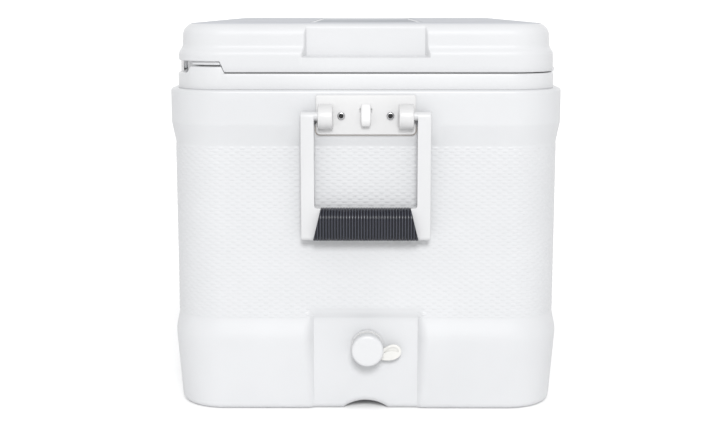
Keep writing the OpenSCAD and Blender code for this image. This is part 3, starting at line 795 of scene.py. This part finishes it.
def lid_side_rows(columns, notch):
    """Rings of the lid's visible side, from the skirt's foot up to the flat top."""
    foot = LID_BOTTOM + (NOTCH_TOP - LID_BOTTOM) * notch
    rows = []
    for share in (0.04, 0.08, 0.5):
        z = foot + (LID_RECESS_FOOT - 1 - foot) * share
        lip = SKIRT_R - 0.6 * (share < 0.06)
        rows.append((lid_profile(z) + (lip - lid_profile(z)) * notch, z))
    levels = list(LID_RECESS_FOOT + np.array([-1, -0.3, 0.2, 0.6, 1.2, 2, 3.2]))
    levels += list(LID_CREASE + np.linspace(-1.5, 8.5, 11)) + [LID_TOP - 20]
    edges = [(lid_profile(z), z) for z in levels]
    for a in np.radians(np.linspace(0, 90, 12)):
        edge = LID_TOP_R - LID_EDGE + LID_EDGE * math.cos(a)
        edges.append((edge, LID_TOP - LID_EDGE + LID_EDGE * math.sin(a)))
    for edge, z in edges:
        rows.append((smooth_min(edge + 0 * columns, lid_recess_r(columns, z), LID_SOFTNESS), z))
    return rows


def build_lid(material, top_shade_material, panel_shade_material):
    columns = lid_columns()
    notch = notch_share(columns)
    rows = lid_under_rows(notch, riser_share(columns)) + lid_side_rows(columns, notch)
    for r, drop in ((6, 0), (5, 0.3), (4, 1.5), (3, 1.8)):
        rows.append((r, LID_TOP - drop, (TOP_PANEL_X, TOP_PANEL_Y)))
    piece = make_piece(
        "lid_moulding", *ring_solid(columns, rows), material, "lid", "lid_shell", "lid_plastic", 28
    )
    paint_top_shade(piece, top_shade_material, panel_shade_material)


def paint_top_shade(piece, top_shade_material, panel_shade_material):
    """The lid's up-facing flat top and its sunken panel are duller, and their greyer colour is painted
    shade: the top darker than the lid's sides, the panel darker still.
    """
    piece.data.materials.append(top_shade_material)
    piece.data.materials.append(panel_shade_material)
    for face in piece.data.polygons:
        x, y, z = np.array(face.center) / MM
        if face.normal.z < TOP_MIN_NORMAL or z < LID_TOP - LID_EDGE:
            continue
        sunken = abs(x) < TOP_PANEL_X + 8 and abs(y) < TOP_PANEL_Y + 8
        # Up-facing top faces get painted shade; faces of the sunken panel get a darker painted shade.
        face.material_index = 2 if sunken else 1


def build_lid_liner(material):
    """The underside panel of the lid, with its plug."""
    columns = distinct(corner_columns(12) + side_columns())
    plug_r = TUB_RIM_R - 1.8
    plug_bottom = RIM_TOP - 10
    rows = [(plug_r - 14, plug_bottom + 1.2, TUB_AXES), (plug_r - 11, plug_bottom, TUB_AXES)]
    for a in np.radians([0, 30, 60, 90]):
        rows.append((plug_r - 4 + 4 * math.sin(a), plug_bottom + 4 - 4 * math.cos(a), TUB_AXES))
    rows += [
        (plug_r, LID_BOTTOM - 0.4, TUB_AXES),
        (plug_r + 1, LID_BOTTOM, TUB_AXES),
        (FLANGE_R - 3.8, LID_BOTTOM),
        (FLANGE_R - 3.2, LID_BOTTOM + 0.5),
        (FLANGE_R - 3.2, LID_BOTTOM + 3),
    ]
    make_piece(
        "lid_liner_panel", *ring_solid(columns, rows), material, "lid", "lid_liner",
        "liner_plastic", 28,
    )


# ---- Handles ----

PIVOT_X = joints["handle_right_swing"]["pos_m"][0] / MM
PIVOT_Z = joints["handle_right_swing"]["pos_m"][2] / MM
BAIL_HALF = bail_high[1]
BAIL_LOW = bail_low[2]
ARM_WIDTH = 14.6
ARM_HEAD = 5.0
ARM_THICK = 12.0
PIN_INNER = 36.5
PIN_R = 5.0
GRIP_TOP = grip_high[2]
GRIP_TOP_HALF = 49.0
GRIP_LOW_HALF = 58.0
RIB_PITCH = 3.2
RIB_STEPS = 8
RIB_DEPTH = 1.0


def arm_outline():
    """The +Y arm of the bail seen along X, anticlockwise in (y, z)."""
    inner = BAIL_HALF - ARM_WIDTH
    top = PIVOT_Z + ARM_HEAD
    return (
        arc_points(BAIL_HALF - 3.5, BAIL_LOW + 3.5, 3.5, -90, 0, 5)
        + arc_points(BAIL_HALF - 1.5, top - 1.5, 1.5, 0, 90, 3)
        + arc_points(inner + 1.5, top - 1.5, 1.5, 90, 180, 3)
        + [
            (inner, GRIP_TOP + 3),
            (inner - 0.6, GRIP_TOP + 1.2),
            (inner - 1.8, GRIP_TOP + 0.3),
            (GRIP_TOP_HALF + 1.4, GRIP_TOP),
            (GRIP_TOP_HALF + 0.5, GRIP_TOP - 0.7),
            (GRIP_LOW_HALF - 0.2, BAIL_LOW + 0.6),
            (GRIP_LOW_HALF + 1.2, BAIL_LOW),
        ]
    )


def arm_side_outline():
    """The arm seen along Y, clipped round the pivot and at its foot, in (x, z)."""
    half = ARM_THICK / 2
    return (
        arc_points(PIVOT_X + half - 5, BAIL_LOW + 5, 5, -90, 0, 6)
        + arc_points(PIVOT_X, PIVOT_Z + ARM_HEAD - half, half, 0, 180, 16)
        + arc_points(PIVOT_X - half + 4, BAIL_LOW + 4, 4, 180, 270, 5)
    )


def build_bail(side, material):
    arm = bare_object(
        "arm", slab(arm_outline(), PIVOT_X - ARM_THICK, PIVOT_X + ARM_THICK, 1.0, (1, 2, 0), 2)
    )
    clip = slab(arm_side_outline(), BAIL_HALF - 25, BAIL_HALF, 1.2, (0, 2, 1), 3)
    cut_by(arm, clip, "INTERSECT")
    arm = taken_apart(arm)
    reach = BAIL_HALF - ARM_WIDTH + 2 - PIN_INNER
    pin_profile = [(0, 0), (PIN_R - 0.4, 0), (PIN_R, 0.5), (PIN_R, reach), (0, reach)]
    pin = lathe(pin_profile, 1, (PIVOT_X, PIN_INNER, PIVOT_Z), 32)
    middle = (BAIL_LOW + GRIP_TOP) / 2
    half = GRIP_TOP_HALF + 7
    core = soft_box((PIVOT_X - 4, -half, middle - 9), (PIVOT_X + 4, half, middle + 9), 1.2)
    part = merged([arm, mirrored(arm, 1), pin, mirrored(pin, 1), core])
    make_piece(
        "bail_" + side, *for_end(part, side), material, "handle_" + side, "handle_bail_" + side,
        "handle_plastic", 35,
    )


def grip_section():
    """The grip across Y: flat behind, full and round in front, anticlockwise in (x, z)."""
    back, face = grip_low[0], grip_high[0]
    low, top = grip_low[2], grip_high[2]
    return (
        arc_points(back + 5, low + 5, 5, 180, 270, 6)
        + arc_points(face - 9, low + 9, 9, 270, 360, 8)
        + arc_points(face - 13, top - 13, 13, 0, 90, 12)
        + arc_points(back + 6, top - 6, 6, 90, 180, 6)
    )


def rib_height(y):
    """How far the grip's skin stands out from the bottom of its grooves."""
    phase = abs((y / RIB_PITCH) % 1 - 0.5) * 2
    return RIB_DEPTH * math.sqrt(max(1 - phase**2.2, 0)) if phase < 0.98 else 0.0


def build_grip(side, material):
    """The grip's section swept along Y over its ribs, and cut to its slanted ends."""
    outline = np.array(grip_section())
    steps = int(2 * (GRIP_LOW_HALF + 3) / RIB_PITCH) * RIB_STEPS
    sections = []
    for k in range(steps + 1):
        y = -GRIP_LOW_HALF - 3 + RIB_PITCH * k / RIB_STEPS
        section = inset_outline(outline, RIB_DEPTH - rib_height(y))
        sections.append([(x, y, z) for x, z in section])
    body = bare_object("grip", swept(sections, True))
    low, top = BAIL_LOW - 2, GRIP_TOP + 2
    slant = (GRIP_LOW_HALF - GRIP_TOP_HALF) / (GRIP_TOP - BAIL_LOW)
    wide, narrow = GRIP_LOW_HALF + 2 * slant, GRIP_TOP_HALF - 2 * slant
    outline = [(-wide, low), (wide, low), (narrow, top), (-narrow, top)]
    cut_by(body, slab(outline, grip_low[0] - 5, grip_high[0] + 5, 0.5, (1, 2, 0), 1), "INTERSECT")
    make_piece(
        "grip_" + side, *for_end(taken_apart(body), side), material, "handle_" + side,
        "handle_grip_" + side, "grip_rubber", 40,
    )


def plate_outline():
    """The bracket's plate seen along X, anticlockwise in (y, z), with a fillet at each corner."""
    half = plate_high[1]
    low, top = plate_low[2], plate_high[2]
    return (
        arc_points(half - 4.5, low + 4.5, 4.5, -90, 0, 8)
        + arc_points(half - 2, top - 2, 2, 0, 90, 4)
        + arc_points(-half + 2, top - 2, 2, 90, 180, 4)
        + arc_points(-half + 4.5, low + 4.5, 4.5, 180, 270, 8)
    )


PLATE_THICK = 3.5
BARREL_INNER = 36.0
BARREL_WIDTH = 16.0
BARREL_R = 11.0
SLOT_Y = 6.1
# The tongue's height over the pivot, half width and reach from the wall, from its lower end up
TONGUE_LEVELS = (
    (-13.4, 3.4, 2.4), (-12.0, 4.0, 5.5), (-10.4, 4.4, 10.4), (-8.5, 4.8, 11.4), (-7, 5.2, 11.4),
    (-4, 5.4, 11), (3, 5.4, 8.4), (9, 5.4, 5.8), (12.5, 5.2, 4.2),
)


def build_bracket(side, material):
    face = plate_low[0]
    front_x = face + PLATE_THICK
    plate = slab(plate_outline(), face, front_x, 0.9, (1, 2, 0), 3)
    barrel_outline = arc_points(PIVOT_X - 1.5, PIVOT_Z - 1.5, BARREL_R + 1.5, -80, 62, 18)
    barrel_outline += [(front_x + 1, PIVOT_Z + 13), (face + 1, PIVOT_Z + 13), (face + 1, PIVOT_Z - 13)]
    barrel_outline += [(front_x + 1, PIVOT_Z - 13.5)]
    barrel = slab(barrel_outline, BARREL_INNER, BARREL_INNER + BARREL_WIDTH, 1.2, (0, 2, 1), 3)
    piece = bare_object("bracket", merged([plate, barrel, mirrored(barrel, 1)]))
    for y in (-SLOT_Y, SLOT_Y):
        slot_low = (front_x - 2, y - 0.8, PIVOT_Z + 3.5)
        slot_high = (front_x + 5, y + 0.8, PIVOT_Z + 8)
        cut_by(piece, soft_box(slot_low, slot_high, 0.3, (1, 2, 0)))
    part = merged([taken_apart(piece), build_tongue(face)])
    build_shadow_seat(side, face)
    make_piece(
        "bracket_" + side, *for_end(part, side), material, "cooler_body",
        "handle_bracket_" + side, "bracket_plastic", 35,
    )


def build_tongue(face):
    """The tongue between the screws: it swells downwards, then narrows to its end."""
    sections = []
    for rise, half, out in TONGUE_LEVELS:
        outline = rounded_box_outline(face + 1, face + out, -half, half, 1.2, 3)
        sections.append([(x, y, PIVOT_Z + rise) for x, y in outline])
    return swept(sections)


def build_shadow_seat(side, face):
    """The dark line round the plate's lower half: a thin dark beige sheet behind the plate whose rim
    shows, painted shadow for the gap between plate and wall.
    """
    half, low = plate_high[1] + 1.0, plate_low[2] - 1.1
    tuck = plate_high[1] - 1
    outline = (
        arc_points(half - 5, low + 5, 5, -90, 0, 8)
        + [(half, PIVOT_Z - 12), (tuck, PIVOT_Z - 9), (-tuck, PIVOT_Z - 9), (-half, PIVOT_Z - 12)]
        + arc_points(-half + 5, low + 5, 5, 180, 270, 8)
    )
    # The sheet's rim is painted shadow along the plate's lower edge and sides.
    part = slab(outline, face - 1, face + 0.7, 0.2, (1, 2, 0), 1)
    make_piece(
        "bracket_shadow_line_" + side, *for_end(part, side), seat_painted_shadow, "cooler_body", None,
        "tether_plastic", 35,
    )


SCREW_Y = 26.8


def cross_cutters(radius, depth, top, y, z):
    """Boxes for a cross recess in a screw head that faces along X."""
    cutters = []
    for wide, tall in ((radius, radius * 0.26), (radius * 0.26, radius)):
        low, high = (top - depth, y - wide, z - tall), (top + 2, y + wide, z + tall)
        cutters.append(soft_box(low, high, radius * 0.1, (1, 2, 0)))
    return cutters


def build_pan_screws(side, material):
    """The two pan head screws of a bracket, with their cross recesses painted black as painted shade.
    """
    face = plate_low[0] + PLATE_THICK
    head = [(0, -16), (1.4, -16), (2, -14), (2, 0), (4.2, 0), (4.2, 1)]
    head += [(2.8 + 1.4 * math.cos(a), 1 + 1.6 * math.sin(a)) for a in np.radians([25, 50, 75])]
    head += [(2.6, 2.6), (1.9, 1.6), (0, 1.2)]
    parts = []
    for y in (-SCREW_Y, SCREW_Y):
        screw = bare_object("screw", lathe(head, 0, (face, y, PIVOT_Z), 32))
        for cutter in cross_cutters(2.1, 2.0, face + 2.2, y, PIVOT_Z):
            cut_by(screw, cutter)
        parts.append(taken_apart(screw))
    piece = make_piece(
        "pan_screws_" + side, *for_end(merged(parts), side), material, "cooler_body",
        "bracket_screws_" + side, "stainless_steel", 35,
    )
    # The cross recesses' faces take black as painted shade; the drain washer and cap seal use the same
    # black as their own colour.
    piece.data.materials.append(black_seal_and_painted_shade)
    for polygon in piece.data.polygons:
        x, y, z = np.abs(np.array(polygon.center) / MM)
        if math.hypot(y - SCREW_Y, z - PIVOT_Z) < 2.4 and face < x < face + 2.45:
            polygon.material_index = 1


# ---- Drain ----

DRAIN_Y = joints["cap_turn"]["pos_m"][1] / MM
DRAIN_Z = joints["cap_turn"]["pos_m"][2] / MM
CAP_R = (cap_high[1] - cap_low[1]) / 2 + 0.4
CAP_BORE_R = 13.2
THREAD_R = 13.15
THREAD_ROOT_R = 12.2
THREAD_PITCH = 2.2


def build_drain_cap(material):
    back, top = cap_low[0], cap_high[0]
    soft = 3.2
    profile = [(0, top - 3.2), (CAP_BORE_R, top - 3.2), (CAP_BORE_R, back), (CAP_R - 2.6, back)]
    profile += [(CAP_R - 2.4, back + 2.2), (CAP_R - 0.3, back + 2.6), (CAP_R, back + 3.2)]
    for a in np.radians([0, 18, 36, 54, 72, 90]):
        profile.append((CAP_R - soft + soft * math.cos(a), top - soft + soft * math.sin(a)))
    profile += [(CAP_R - 6, top - 0.1), (0, top)]
    part = lathe(profile, 0, (0, DRAIN_Y, DRAIN_Z), 64)
    make_piece(
        "drain_cap_moulding", *part, material, "cap", "drain_cap", "drain_plastic", 35
    )


def build_drain_fitting(material):
    low, high = fitting_low[0], fitting_high[0]
    flange = DRAIN_FLOOR_R + AXIS_X + 1.5
    profile = [(8, low), (8, high), (THREAD_R - 0.8, high)]
    z = high - 0.8
    while z > flange + 5.6:
        profile += [(THREAD_R, z), (THREAD_R, z - 0.7)]
        profile += [(THREAD_ROOT_R, z - 1.1), (THREAD_ROOT_R, z - 1.5)]
        z -= THREAD_PITCH
    profile += [(THREAD_R, flange + 3), (18.1, flange + 3), (18.5, flange + 2.6), (18.5, flange)]
    profile += [(11, flange), (11, low + 0.5), (10.5, low)]
    part = lathe(profile, 0, (0, DRAIN_Y, DRAIN_Z), 64)
    make_piece(
        "drain_fitting_moulding", *part, material, "cooler_body", "drain_fitting",
        "drain_plastic", 30,
    )


def leaf_outline():
    """The tether's leaf-shaped loop beside the cap, anticlockwise in (y, z)."""
    knots = [
        (8, -12.5), (16, -14.2), (24, -15), (31, -13.6), (36.5, -10), (38.6, -4.5),
        (36.6, 1), (32, 3.9), (26.5, 4), (21, 1.2), (15, -2.5), (8, -3),
    ]
    return smoothed(knots) + (DRAIN_Y, DRAIN_Z)


def leaf_hole():
    """The crescent-shaped hollow in the leaf, near its upper edge."""
    knots = [
        (17.5, -6.5), (21.5, -4.2), (26.5, -3.3), (31.5, -3.6), (35.4, -5), (34.6, -1.6), (31.2, 0.9),
        (26.9, 1), (22.2, -1.2),
    ]
    return smoothed(knots) + (DRAIN_Y, DRAIN_Z)


def smoothed(knots, rounds=3):
    """A closed line with its corners cut again and again."""
    line = np.array(knots, float)
    while len(line) < len(knots) * 2**rounds:
        ahead = np.roll(line, -1, 0)
        line = np.stack([line * 0.75 + ahead * 0.25, line * 0.25 + ahead * 0.75], 1).reshape(-1, 2)
    return line


def build_tether(material):
    """One soft strap: a ring round the spout, the leaf beside it, and a ring round the cap's back."""
    ring_x = tether_low[0]
    cap_ring_x = cap_ring_low[0]
    leaf = bare_object("leaf", slab(leaf_outline(), ring_x + 3.2, ring_x + 6, 0.9, (1, 2, 0), 3))
    cut_by(leaf, slab(leaf_hole(), ring_x + 4.4, ring_x + 8, 0.2, (1, 2, 0), 1))
    centre = (0, DRAIN_Y, DRAIN_Z)
    inner = lathe(ring_section(13.5, 16.4, ring_x, ring_x + 1.3), 0, centre, 64)
    outer = lathe(
        ring_section(CAP_R - 2.2, CAP_R, cap_ring_x - 0.2, cap_ring_x + 1.9), 0, centre, 64
    )
    neck_low = (ring_x + 0.2, DRAIN_Y + 12, DRAIN_Z - 11.5)
    neck = soft_box(neck_low, (ring_x + 5, DRAIN_Y + 15.5, DRAIN_Z - 5.5), 0.8, (1, 2, 0))
    part = merged([taken_apart(leaf), inner, outer, neck])
    piece = make_piece(
        "tether_strap", *part, material, None, ("drain_tether", "tether_cap_ring"), "tether_plastic", 35
    )
    height = [v * MM for v in (0, DRAIN_Y, DRAIN_Z)]
    start, end = list(height), list(height)
    start[0], end[0] = (ring_x + 1.4) * MM, (cap_ring_x - 0.1) * MM
    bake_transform(piece)


def ring_section(inner, outer, back, front_x):
    """A flat ring's section for lathe, with its outer edges rounded."""
    soft = 0.5
    return [
        (inner, back), (inner, front_x), (outer - soft, front_x), (outer, front_x - soft),
        (outer, back + soft), (outer - soft, back),
    ]


# ---- Materials ----

STEEL_GRAIN = 900


def add_node(material, kind, **values):
    """A shader node with the given values at its inputs, whose names have _ for a space."""
    node = material.node_tree.nodes.new("ShaderNode" + kind)
    for name, value in values.items():
        node.inputs[name.replace("_", " ")].default_value = value
    return node


def plastic(name, colour, roughness, grain, bump, mottling=0.012, specular=0.5):
    """Moulded plastic: faint blotches in colour, uneven gloss and a fine grain."""
    material = bpy.data.materials.new(name)
    material.use_nodes = True
    shader = material.node_tree.nodes["Principled BSDF"]
    link = material.node_tree.links.new
    place = add_node(material, "TexCoord")
    blotch = add_node(material, "TexNoise", Scale=7, Detail=3)
    link(place.outputs["Object"], blotch.inputs["Vector"])
    tint = add_node(material, "ValToRGB")
    dark, light = tint.color_ramp.elements
    dark.color = (*[max(c - mottling, 0) for c in colour], 1)
    light.color = (*[min(c + mottling, 1) for c in colour], 1)
    dark.position, light.position = 0.35, 0.65
    link(blotch.outputs["Fac"], tint.inputs["Fac"])
    link(tint.outputs["Color"], shader.inputs["Base Color"])
    gloss = add_node(material, "MapRange", To_Min=roughness - 0.05, To_Max=roughness + 0.06)
    link(blotch.outputs["Fac"], gloss.inputs["Value"])
    link(gloss.outputs["Result"], shader.inputs["Roughness"])
    fine = add_node(material, "TexNoise", Scale=grain, Detail=4)
    link(place.outputs["Object"], fine.inputs["Vector"])
    relief = add_node(material, "Bump", Strength=bump, Distance=0.0004)
    link(fine.outputs["Fac"], relief.inputs["Height"])
    link(relief.outputs["Normal"], shader.inputs["Normal"])
    shader.inputs["Specular IOR Level"].default_value = specular
    return material


def rib_highlight_painted(material):
    """The crests of the grip's ribs are painted lighter than its grooves: painted highlight on the
    crests and painted shade in the grooves.
    """
    shader = material.node_tree.nodes["Principled BSDF"]
    link = material.node_tree.links.new
    place = next(n for n in material.node_tree.nodes if n.type == "TEX_COORD")
    across = add_node(material, "SeparateXYZ")
    turns = add_node(material, "Math")
    turns.operation = "MULTIPLY_ADD"
    turns.inputs[1].default_value = 2 * math.pi / (RIB_PITCH * MM)
    turns.inputs[2].default_value = math.pi
    wave = add_node(material, "Math")
    wave.operation = "COSINE"
    crest = add_node(material, "MapRange", From_Min=0.25)
    mix = add_node(material, "Mix")
    mix.data_type = "RGBA"
    # The crests' lighter colour is painted highlight; the darker base left between them is painted
    # shade in the grooves.
    mix.inputs["B"].default_value = (0.05, 0.054, 0.068, 1)
    link(shader.inputs["Base Color"].links[0].from_socket, mix.inputs["A"])
    link(place.outputs["Object"], across.inputs["Vector"])
    link(across.outputs["Y"], turns.inputs[0])
    link(turns.outputs["Value"], wave.inputs[0])
    link(wave.outputs["Value"], crest.inputs["Value"])
    link(crest.outputs["Result"], mix.inputs["Factor"])
    link(mix.outputs["Result"], shader.inputs["Base Color"])
    return material


def metal(name, colour, roughness, stretch):
    """Bare metal with fine brushed streaks."""
    material = plastic(name, colour, roughness, STEEL_GRAIN, 0.08, 0.03)
    nodes, link = material.node_tree.nodes, material.node_tree.links.new
    nodes["Principled BSDF"].inputs["Metallic"].default_value = 1.0
    mapping = add_node(material, "Mapping", Scale=stretch)
    place = next(n for n in nodes if n.type == "TEX_COORD")
    fine = next(
        n for n in nodes if n.type == "TEX_NOISE" and n.inputs["Scale"].default_value == STEEL_GRAIN
    )
    link(place.outputs["Object"], mapping.inputs["Vector"])
    link(mapping.outputs["Vector"], fine.inputs["Vector"])
    return material


shell_white = plastic("shell_white", (0.535, 0.541, 0.553), 0.42, 700, 0.12)
lid_white = plastic("lid_white", (0.548, 0.553, 0.564), 0.40, 700, 0.10, specular=0.2)
# Greyer copies of the lid's white: painted shade on its up-facing top, darker painted shade on its
# sunken panel.
lid_top_painted_shade = plastic("lid_top_painted_shade", (0.5, 0.51, 0.535), 0.62, 700, 0.16, specular=0.0)
lid_panel_painted_shade = plastic("lid_panel_painted_shade", (0.4, 0.412, 0.435), 0.62, 700, 0.16, specular=0.0)
liner_white = plastic("liner_white", (0.548, 0.553, 0.563), 0.36, 600, 0.06)
bracket_white = plastic("bracket_white", (0.55, 0.55, 0.553), 0.38, 800, 0.08)
handle_white = plastic("handle_white", (0.547, 0.55, 0.558), 0.40, 800, 0.10)
drain_white = plastic("drain_white", (0.55, 0.555, 0.565), 0.36, 800, 0.06)
tether_white = plastic("tether_white", (0.6, 0.595, 0.575), 0.48, 900, 0.10)
anchor_grey = plastic("anchor_grey", (0.42, 0.43, 0.45), 0.6, 500, 0.2)
foam_cream = plastic("foam_cream", (0.86, 0.78, 0.5), 0.9, 350, 0.6, 0.04)
grip_navy = rib_highlight_painted(plastic("grip_navy", (0.006, 0.0065, 0.011), 0.26, 900, 0.1, 0.002, 0.3))
# Dark beige of the sheet behind each bracket plate: painted shadow of the gap under the plate.
seat_painted_shadow = plastic("seat_painted_shadow", (0.40, 0.36, 0.32), 0.6, 500, 0.2)
# Own black of the drain washer and cap seal, also used as painted shade in the screw recesses.
black_seal_and_painted_shade = plastic("black_seal_and_painted_shade", (0.02, 0.02, 0.021), 0.6, 900, 0.2, 0.004)
steel = metal("steel", (0.46, 0.46, 0.47), 0.26, (1, 1, 1))
hinge_steel = metal("hinge_steel", (0.66, 0.66, 0.67), 0.34, (0.05, 1, 1))


def dress_node(name, material):
    """Material of a CAD node that shows, and softer edges where it is moulded or pressed."""
    node = frame["nodes"][name]
    node.data.materials.clear()
    node.data.materials.append(material)
    if any(word in name for word in SOFT_EDGED):
        edge = node.modifiers.new("soft edges", "BEVEL")
        edge.width = 0.4 * MM
        edge.segments = 2
        edge.limit_method = "ANGLE"
        edge.angle_limit = math.radians(40)


# ---- The pieces ----

build_outer_shell(shell_white)
build_liner(liner_white)
build_lid(lid_white, lid_top_painted_shade, lid_panel_painted_shade)
build_lid_liner(liner_white)
for side in ("right", "left"):
    build_bail(side, handle_white)
    build_grip(side, grip_navy)
    build_bracket(side, bracket_white)
    build_pan_screws(side, steel)
build_drain_cap(drain_white)
build_drain_fitting(drain_white)
build_tether(tether_white)

NODES_OF = {
    foam_cream: ("body_foam", "lid_foam"),
    anchor_grey: ("handle_anchors",),
    hinge_steel: ("hinge_body_leaves", "hinge_lid_leaves"),
    steel: (
        "hinge_pins", "hinge_body_screws", "hinge_lid_screws", "latch_bracket_screws",
        "latch_pins", "latch_keeper_screws",
    ),
    bracket_white: ("latch_brackets", "latch_lever_right", "latch_lever_left", "latch_keepers"),
    drain_white: ("drain_nut",),
    black_seal_and_painted_shade: ("drain_washer", "cap_seal"),
}
SOFT_EDGED = ("bracket", "lever", "keeper", "leaves", "nut")
for material, names in NODES_OF.items():
    for name in names:
        dress_node(name, material)


# ---- Floor, light and camera ----

# The camera's place in metres, how far it looks down and how far round, in degrees
CAMERA_PLACE = (1.755, 0, 0.452)
CAMERA_DROP = 9.44
CAMERA_TURN = 0.26


def build_stage():
    """A pale paper floor that turns up into a wall far behind the chest."""
    far, rise = 60, 40  # metres
    corners = [(-far, -far, 0), (far, -far, 0), (far, far, 0), (-far, far, 0)]
    corners += [(-far, -far, rise), (-far, far, rise)]
    floor_mesh = bpy.data.meshes.new("floor")
    floor_mesh.from_pydata(corners, [], [(0, 1, 2, 3), (0, 3, 5, 4)])
    floor = new_object("floor", floor_mesh)
    paper = bpy.data.materials.new("paper")
    paper.use_nodes = True
    shader = paper.node_tree.nodes["Principled BSDF"]
    shader.inputs["Base Color"].default_value = (0.93, 0.93, 0.93, 1)
    shader.inputs["Roughness"].default_value = 0.9
    floor_mesh.materials.append(paper)


def add_sun(name, direction, power, spread):
    """A far, soft lamp: its direction points from the chest to the lamp; spread is in degrees."""
    data = bpy.data.lights.new(name, "SUN")
    data.energy = power
    data.angle = math.radians(spread)
    lamp = new_object(name, data)
    lamp.rotation_euler = Vector(direction).to_track_quat("Z", "Y").to_euler()


def build_light():
    world = bpy.data.worlds.new("studio")
    bpy.context.scene.world = world
    world.use_nodes = True
    background = world.node_tree.nodes["Background"]
    background.inputs["Color"].default_value = (1, 1, 1, 1)
    background.inputs["Strength"].default_value = 0.82
    add_sun("front", (1, 0.05, 0.62), 2.3, 18)
    bpy.context.scene.view_settings.view_transform = "Standard"


def build_camera():
    """A dead-on view of the drain end, a little above and looking slightly down."""
    data = bpy.data.cameras.new("camera")
    data.sensor_width = 36
    data.lens = 64.25
    data.clip_start = 0.05
    data.clip_end = 200
    camera = new_object("camera", data)
    camera.location = CAMERA_PLACE
    camera.rotation_euler = (math.radians(90 - CAMERA_DROP), 0, math.radians(90 + CAMERA_TURN))
    bpy.context.scene.camera = camera


build_stage()
build_light()
build_camera()
